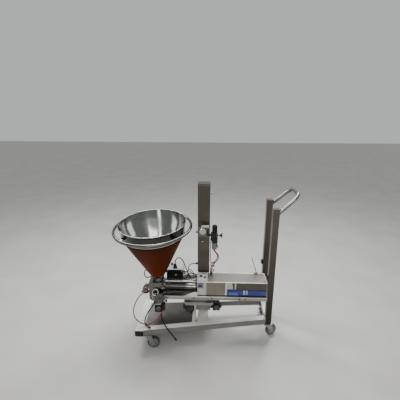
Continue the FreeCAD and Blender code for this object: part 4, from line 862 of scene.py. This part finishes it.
class DEPOSITOR_OT_housing(bpy.types.Operator):
    """Put the plates, folds and bolts on the housing and the tray"""

    bl_idname = "depositor.housing"
    bl_label = "Housing"

    def execute(self, context):
        self.folds()
        self.plates()
        self.tray()
        return {"FINISHED"}

    def flat(self, name, finish, left, right, low, high, proud=0.0, thick=0.8, slot="stainless"):
        """Thin upright plate on the housing's front face."""
        plate = slab(right - left, thick, high - low, 0.3, 1)
        place = at((left + right) / 2, -165 - proud - thick / 2, (low + high) / 2)
        return piece(name, "head", finish, [moved(plate, place)])

    def folds(self):
        # Edge strips in the brightened steel: painted highlight along the housing's folded edges.
        edges = [
            moved(slab(454, 6, 5, 1.8, 3), at(189, -164.5, 443.5)),
            moved(slab(6, 120, 5, 1.8, 3), at(-36, -105, 443.5)),
            moved(slab(6, 120, 5, 1.8, 3), at(413, -105, 443.5)),
            moved(slab(454, 6, 5, 1.8, 3), at(189, -45.5, 443.5)),
        ]
        piece("housing_folds", "head", "fold_highlight", edges)
        # Joint strip in the brightened steel: painted seam highlight.
        strip = [moved(slab(9, 3, 97, 1), at(150, -166, 395))]
        piece("cover_joint", "head", "fold_highlight", strip)
        # Cover strips painting light and shade across the housing front: pale where lit, warm and brown as
        # painted shade.
        self.flat("cover_near", "cover_pale", -36, 22, 345, 441)
        self.flat("cover_middle", "cover_warm", 22, 146, 345, 441)
        self.flat("cover_bright", "cover_pale", 155, 216, 393, 441)
        self.flat("cover_shaded_strip", "cover_shade", 216, 413, 393, 441)

    def plates(self):
        self.flat("plate_base", "plate", 158, 413, 349, 394, 0.8)
        self.flat("plate_band", "plate_dark", 158, 413, 383, 394, 1.6, 0.5)
        # Black strip along the bottom of the plate: painted shadow of the gap over the tray.
        self.flat("plate_shadow_line", "soft_black", 238, 413, 346, 352, 1.6, 0.5, "black_plastic")
        self.flat("plate_patch_first", "patch", 262, 276, 357, 389, 2.1, 0.4)
        self.flat("plate_patch_second", "patch", 282, 292, 357, 389, 2.1, 0.4)
        self.flat("plate_patch_left", "patch_blue", 168, 226, 353, 371, 1.6, 0.4)
        self.flat("tag_base", "tag", -34, 2, 398, 438, 0.8)
        self.flat("tag_mark", "soft_black", -30, -8, 409, 421, 1.6, 0.4, "black_plastic")
        catch = [moved(slab(9, 7, 36, 1.5), at(200, -169, 418))]
        catch.append(moved(slab(15, 5, 8, 1.5), at(198, -169, 432)))
        piece("cover_catch", "head", "soft_black", catch)
        top = moved(slab(64, 108, 1.6, 0.6, 1), at(-3, -105, 446))
        piece("top_plate", "head", "white", [top])
        marks = [moved(slab(21, 24, 1.2, 0.5, 1), at(-15, -98, 447))]
        marks.append(moved(slab(13, 26, 1.2, 0.5, 1), at(11, -112, 447)))
        marks.append(moved(slab(6, 11, 1.4, 0.4, 1), at(-9, -88, 447)))
        piece("top_marks", "head", "soft_black", marks)

    def tray(self):
        # Lip in the brightened steel: painted highlight along the lit flange.
        lip = [moved(slab(688, 9, 3.4, 1.2), at(75, -178, 343))]
        lip.append(moved(slab(3.4, 130, 10, 1.2), at(-266, -108.5, 340)))
        piece("tray_lip", "head", "fold_highlight", lip)
        places = [(238, -175, 329), (278, -175, 329), (60, -175, 330), (-60, -175, 330)]
        heads = tray_bolts(places, (0, -1, 0), 7, 3.5)
        piece("tray_bolts", "head", "soft_black", heads)
        # Upright bright sheet with a slanting edge: a painted patch of light on the tray, its slant the edge of
        # the cylinder's shadow.
        light_patch = slab(92, 3, 30, 0.8)
        for vert in light_patch.verts:
            if vert.co.x < 0 and vert.co.z > 0:
                vert.co.x += 70
        piece("tray_light_patch", "head", "fold_highlight", [moved(light_patch, at(-82, -172, 357))])
        pads = [moved(slab(46, 20, 10, 1.5), at(x, -158, 285)) for x in (-100, 40)]
        pads += tray_bolts([(-104, -151, 268), (44, -151, 268)], (0, -1, 0), 9, 4)
        piece("bracket_pads", "head", "bracket", pads)


# Valve, clamps and cylinders


COVER_X, COVER_Z = -283, 329
CYLINDER_Y, CYLINDER_Z = -105, 372


class DEPOSITOR_OT_valve(bpy.types.Operator):
    """Add the clamps, covers and bolts of the product valve and its cylinder"""

    bl_idname = "depositor.valve"
    bl_label = "Valve"

    def execute(self, context):
        self.front_cover()
        self.clamps()
        self.cylinder()
        self.blocks()
        return {"FINISHED"}

    def front_cover(self):
        face = [(0, 9), (21, 9), (23, 7), (25, 7), (27, 9), (32, 9), (34, 7), (34, 0), (0, 0)]
        parts = [moved(turned(face, 72, closed=False), at(COVER_X, -187, COVER_Z, (0, -1, 0)))]
        for turn in range(4):
            a = math.radians(45 + 90 * turn)
            x, z = COVER_X + 29 * math.cos(a), COVER_Z + 29 * math.sin(a)
            parts += bolt(8, 4, at(x, -195, z, (0, -1, 0)))
        piece("valve_cover", "head", "dark_cast", parts, sharp=30)
        middle = at(COVER_X, -195, COVER_Z, (0, -1, 0))
        nut = [moved(hexagon(19, 9), middle), moved(round_bar(6, 14, 1.2), middle)]
        piece("valve_nut", "head", "machined", nut)

    def clamps(self):
        wings = []
        for x, y, z, axis in (
            (-371, -134, 378, (-0.2, -1, 0.3)), (-347, -156, 340, (0.3, -1, -0.1)),
            (-262, -150, 392, (0, -1, 0)),
        ):
            place = at(x, y, z, axis)
            wings.append(moved(round_bar(4, 16, 0.8, 24), place))
            wings.append(moved(hexagon(11, 7), place @ Matrix.Translation((0, 0, 9))))
            for side in (1, -1):
                tilt = Matrix.Translation((side * 8, 0, 16)) @ Matrix.Rotation(side * 0.6, 4, "Y")
                wings.append(moved(slab(12, 4, 9, 1.8, 3), place @ tilt))
        piece("clamp_screws", "head", "polished", wings)
        bows = []
        for x, y, z, axis, radius in (
            (-325, -170, 326, (0, 1, 0), 22), (-325, -163, 326, (0, 1, 0), 24.5),
            (-394, -105, 326, (0, 0, 1), 24.5), (-362, -105, 372, (1, 0, 0), 24),
        ):
            bows.append(moved(ring(radius, 3.2, 56, 12), at(x, y, z, axis)))
        piece("clamp_bows", "head", "tube", bows)
        lever = [moved(ring(19, 3.4, 56, 12), at(-312, -176, 366, (0.15, -0.7, 0.7)))]
        for start, end in (
            ((-326, -180, 354), (-331, -172, 314)), ((-300, -176, 360), (-296, -150, 352)),
            ((-326, -180, 354), (-326, -150, 350)),
        ):
            reach = Vector(end) - Vector(start)
            lever.append(moved(round_bar(3.4, reach.length, 0.8, 20), at(*start, reach)))
        piece("clamp_lever", "head", "bright", lever)

    def cylinder(self):
        nuts = []
        for side in (1, -1):
            for level in (1, -1):
                y, z = CYLINDER_Y + 32 * side, CYLINDER_Z + 32 * level
                for x, way in ((-258, 1), (-51, -1)):
                    nuts += bolt(16, 8, at(x, y, z, (way, 0, 0)), 10.5)
        piece("tie_nuts", "head", "zinc", nuts)
        bands = [
            moved(ring(30.6, 1.8, 72, 10), at(x, CYLINDER_Y, CYLINDER_Z, (1, 0, 0)))
            for x in (-238, -228, -81, -70)
        ]
        piece("cylinder_bands", "head", "machined", bands)

    def blocks(self):
        bars = [moved(slab(38, 10, 6, 2), at(-303, -154, 262)), moved(slab(9, 8, 12, 2), at(-286, -153, 268))]
        piece("pilot_bracket", "head", "white", bars)
        recess = turned([(9, 0), (13.5, 0), (14.5, 1), (14.5, 4), (13, 5), (9, 5)], 48)
        nut = hexagon(12, 4)
        parts = [moved(recess, at(-299, -150, 224, (0, -1, 0))), moved(nut, at(-299, -143, 224, (0, -1, 0)))]
        piece("pilot_port_ring", "head", "hub", parts)
        muffler = turned([(0, 0), (10, 0), (12, 2), (12, 16), (9, 20), (9, 26), (0, 26)], 40, closed=False)
        muff = [moved(muffler, at(-250, -176, 318, (0.5, -1, 0.1)))]
        piece("silencer", "head", "white", muff, sharp=30)
        cap = [moved(round_bar(7, 4, 0.8, 32), at(-237, -201.5, 321, (0.5, -1, 0.1)))]
        piece("silencer_cap", "head", "black", cap)
        slots = []
        for number in range(4):
            slots.append(moved(slab(40, 2.4, 3.2, 0.8), at(-86, -147, 218 + 7.5 * number)))
        piece("air_valve_ribs", "head", "machined", slots)


# Air set and control box


SET_Y = -60
REGULATOR_X = 72
GAUGE_X, GAUGE_Z = -6, 764


class DEPOSITOR_OT_air_set(bpy.types.Operator):
    """Detail the air service set on the column"""

    bl_idname = "depositor.air_set"
    bl_label = "Air set"

    def execute(self, context):
        bar = [moved(slab(50, 14, 13, 2), at(10, -84, 799))]
        bar.append(moved(slab(36, 9, 6, 2), at(-6, -82, 700, (0.12, 0, 1))))
        gauge = [(0, 12), (15, 12), (17, 13), (19.5, 13), (20.5, 11), (20.5, 0), (0, 0)]
        bar.append(moved(turned(gauge, 56, closed=False), at(GAUGE_X, -77, GAUGE_Z, (0, -1, 0))))
        piece("air_set_bright", "head", "bright", bar, sharp=30)
        dial = [moved(round_bar(14.6, 1, 0.2, 48), at(GAUGE_X, -89, GAUGE_Z, (0, -1, 0)))]
        piece("gauge_dial", "head", "white", dial)
        tilted = Matrix.Rotation(0.7, 4, "Y")
        dark = [moved(slab(1.6, 1, 12, 0.3, 1), at(GAUGE_X + 3, -90.6, GAUGE_Z + 2) @ tilted)]
        dark.append(moved(round_bar(2.2, 2, 0.4, 20), at(GAUGE_X, -90, GAUGE_Z, (0, -1, 0))))
        dark.append(moved(slab(12, 30, 40, 2), at(27, -72, 750)))
        dark.append(moved(slab(22, 14, 14, 2), at(42, -80, 738)))
        dark.append(moved(slab(46, 38, 52, 7, 3), at(69, SET_Y, 721)))
        dark.append(moved(round_bar(12, 7, 1), at(REGULATOR_X, SET_Y, 743)))
        dark.append(moved(slab(5, 5, 40, 1.5), at(90, -68, 660, (0.28, 0, -1))))
        piece("air_set_dark", "head", "black", dark)
        grip = []
        for number in range(20):
            a = math.tau * number / 20
            place = at(REGULATOR_X + 16 * math.cos(a), SET_Y + 16 * math.sin(a), 768)
            grip.append(moved(slab(1.8, 1.8, 34, 0.5, 1), place))
        cap = turned([(0, 0), (15.6, 0), (15.6, 34), (17, 35), (17, 42), (13, 47), (0, 48)], 48, closed=False)
        grip.append(moved(cap, at(REGULATOR_X, SET_Y, 751)))
        piece("regulator_grip", "regulator_knob", "black", grip, sharp=30)
        grasp = turned([(0, 0), (6, 0), (9, 3), (9, 11), (6, 14), (0, 14)], 40, closed=False)
        grasp = moved(grasp, at(104, SET_Y, 727, (1, 0, 0)))
        piece("shutoff_grip", "shutoff_handle", "black", [grasp], sharp=30)
        bowl_ring = [moved(ring(17.6, 1.6, 56, 10), at(REGULATOR_X, SET_Y, 677))]
        bowl_ring.append(moved(round_bar(5, 10, 1), at(REGULATOR_X, SET_Y, 622)))
        screws = [(x, -80, z) for z in (690, 728) for x in (60, 84)]
        bowl_ring += tray_bolts(screws, (0, -1, 0), 5, 3)
        piece("bowl_ring", "head", "machined", bowl_ring)
        return {"FINISHED"}


class DEPOSITOR_OT_control(bpy.types.Operator):
    """Detail the control box with its screws and connector"""

    bl_idname = "depositor.control"
    bl_label = "Control box"

    def execute(self, context):
        screws = []
        for x in (-254, -155):
            for z in (353, 422):
                screws.append(moved(round_bar(3.4, 1.6, 0.4, 24), at(x, 5, z, (0, -1, 0))))
        screws.append(moved(round_bar(6.5, 5, 1, 32), at(-196, 5, 394, (0, -1, 0))))
        piece("box_screws", "head", "white", screws)
        shell = [(0, 0), (11, 0), (13, 2), (13, 15), (11, 17), (11, 26), (8, 30), (0, 31)]
        parts = [moved(turned(shell, 48, closed=False), at(-205, 40, 429))]
        parts.append(moved(slab(30, 30, 3, 1), at(-205, 40, 431)))
        piece("box_connector", "head", "black", parts, sharp=30)
        return {"FINISHED"}


# User interface


class DepositorLooks(bpy.types.PropertyGroup):
    steel_bright: FloatVectorProperty(
        name="Bright steel", description="Colour of rails, sheet and polished parts", subtype="COLOR",
        default=(0.5, 0.485, 0.455), min=0, max=1,
    )
    steel_dark: FloatVectorProperty(
        name="Dark steel", description="Colour of the posts and the column", subtype="COLOR",
        default=(0.2, 0.185, 0.155), min=0, max=1,
    )
    red_tube: FloatVectorProperty(
        name="Red tube", description="Colour of the red air tubes", subtype="COLOR",
        default=(0.2, 0.005, 0.026), min=0, max=1,
    )
    plate_blue: FloatVectorProperty(
        name="Blue plate", description="Colour of the plain plate on the housing", subtype="COLOR",
        default=(0.03, 0.05, 0.24), min=0, max=1,
    )
    floor_half: FloatProperty(
        name="Floor reach", description="Half the side of the floor", default=14.0, min=1.0, unit="LENGTH"
    )
    sky_strength: FloatProperty(name="Sky", description="Strength of the even light", default=0.6, min=0)
    lamp_watts: FloatProperty(name="Lamps", description="Power of the main lamp in watts", default=70.0, min=0)
    lens: FloatProperty(name="Lens", description="Focal length in millimetres", default=27.0, min=5)
    roll: FloatProperty(name="Roll", description="Camera roll in degrees", default=0.2)


class DEPOSITOR_PT_panel(bpy.types.Panel):
    """List of the steps that dress the depositor"""

    bl_idname = "DEPOSITOR_PT_panel"
    bl_label = "Depositor"
    bl_space_type = "VIEW_3D"
    bl_region_type = "UI"
    bl_category = "Depositor"

    def draw(self, context):
        looks = context.scene.depositor_looks
        for name in looks.bl_rna.properties.keys():
            if name not in ("rna_type", "name"):
                self.layout.prop(looks, name)
        for step in STEPS:
            self.layout.operator(step.bl_idname)


STEPS = (
    DEPOSITOR_OT_stage,
    DEPOSITOR_OT_solids,
    DEPOSITOR_OT_cords,
    DEPOSITOR_OT_hopper,
    DEPOSITOR_OT_casters,
    DEPOSITOR_OT_column,
    DEPOSITOR_OT_housing,
    DEPOSITOR_OT_valve,
    DEPOSITOR_OT_air_set,
    DEPOSITOR_OT_control,
)
CLASSES = (DepositorLooks, *STEPS, DEPOSITOR_PT_panel)


def register():
    for cls in CLASSES:
        bpy.utils.register_class(cls)
    bpy.types.Scene.depositor_looks = PointerProperty(type=DepositorLooks)


def unregister():
    del bpy.types.Scene.depositor_looks
    for cls in reversed(CLASSES):
        bpy.utils.unregister_class(cls)


def main():
    register()
    make_finishes()
    bpy.ops.depositor.stage()
    bpy.ops.depositor.solids()
    bpy.ops.depositor.cords()
    bpy.ops.depositor.hopper()
    bpy.ops.depositor.casters()
    bpy.ops.depositor.column()
    bpy.ops.depositor.housing()
    bpy.ops.depositor.valve()
    bpy.ops.depositor.air_set()
    bpy.ops.depositor.control()


if __name__ == "__main__":
    main()
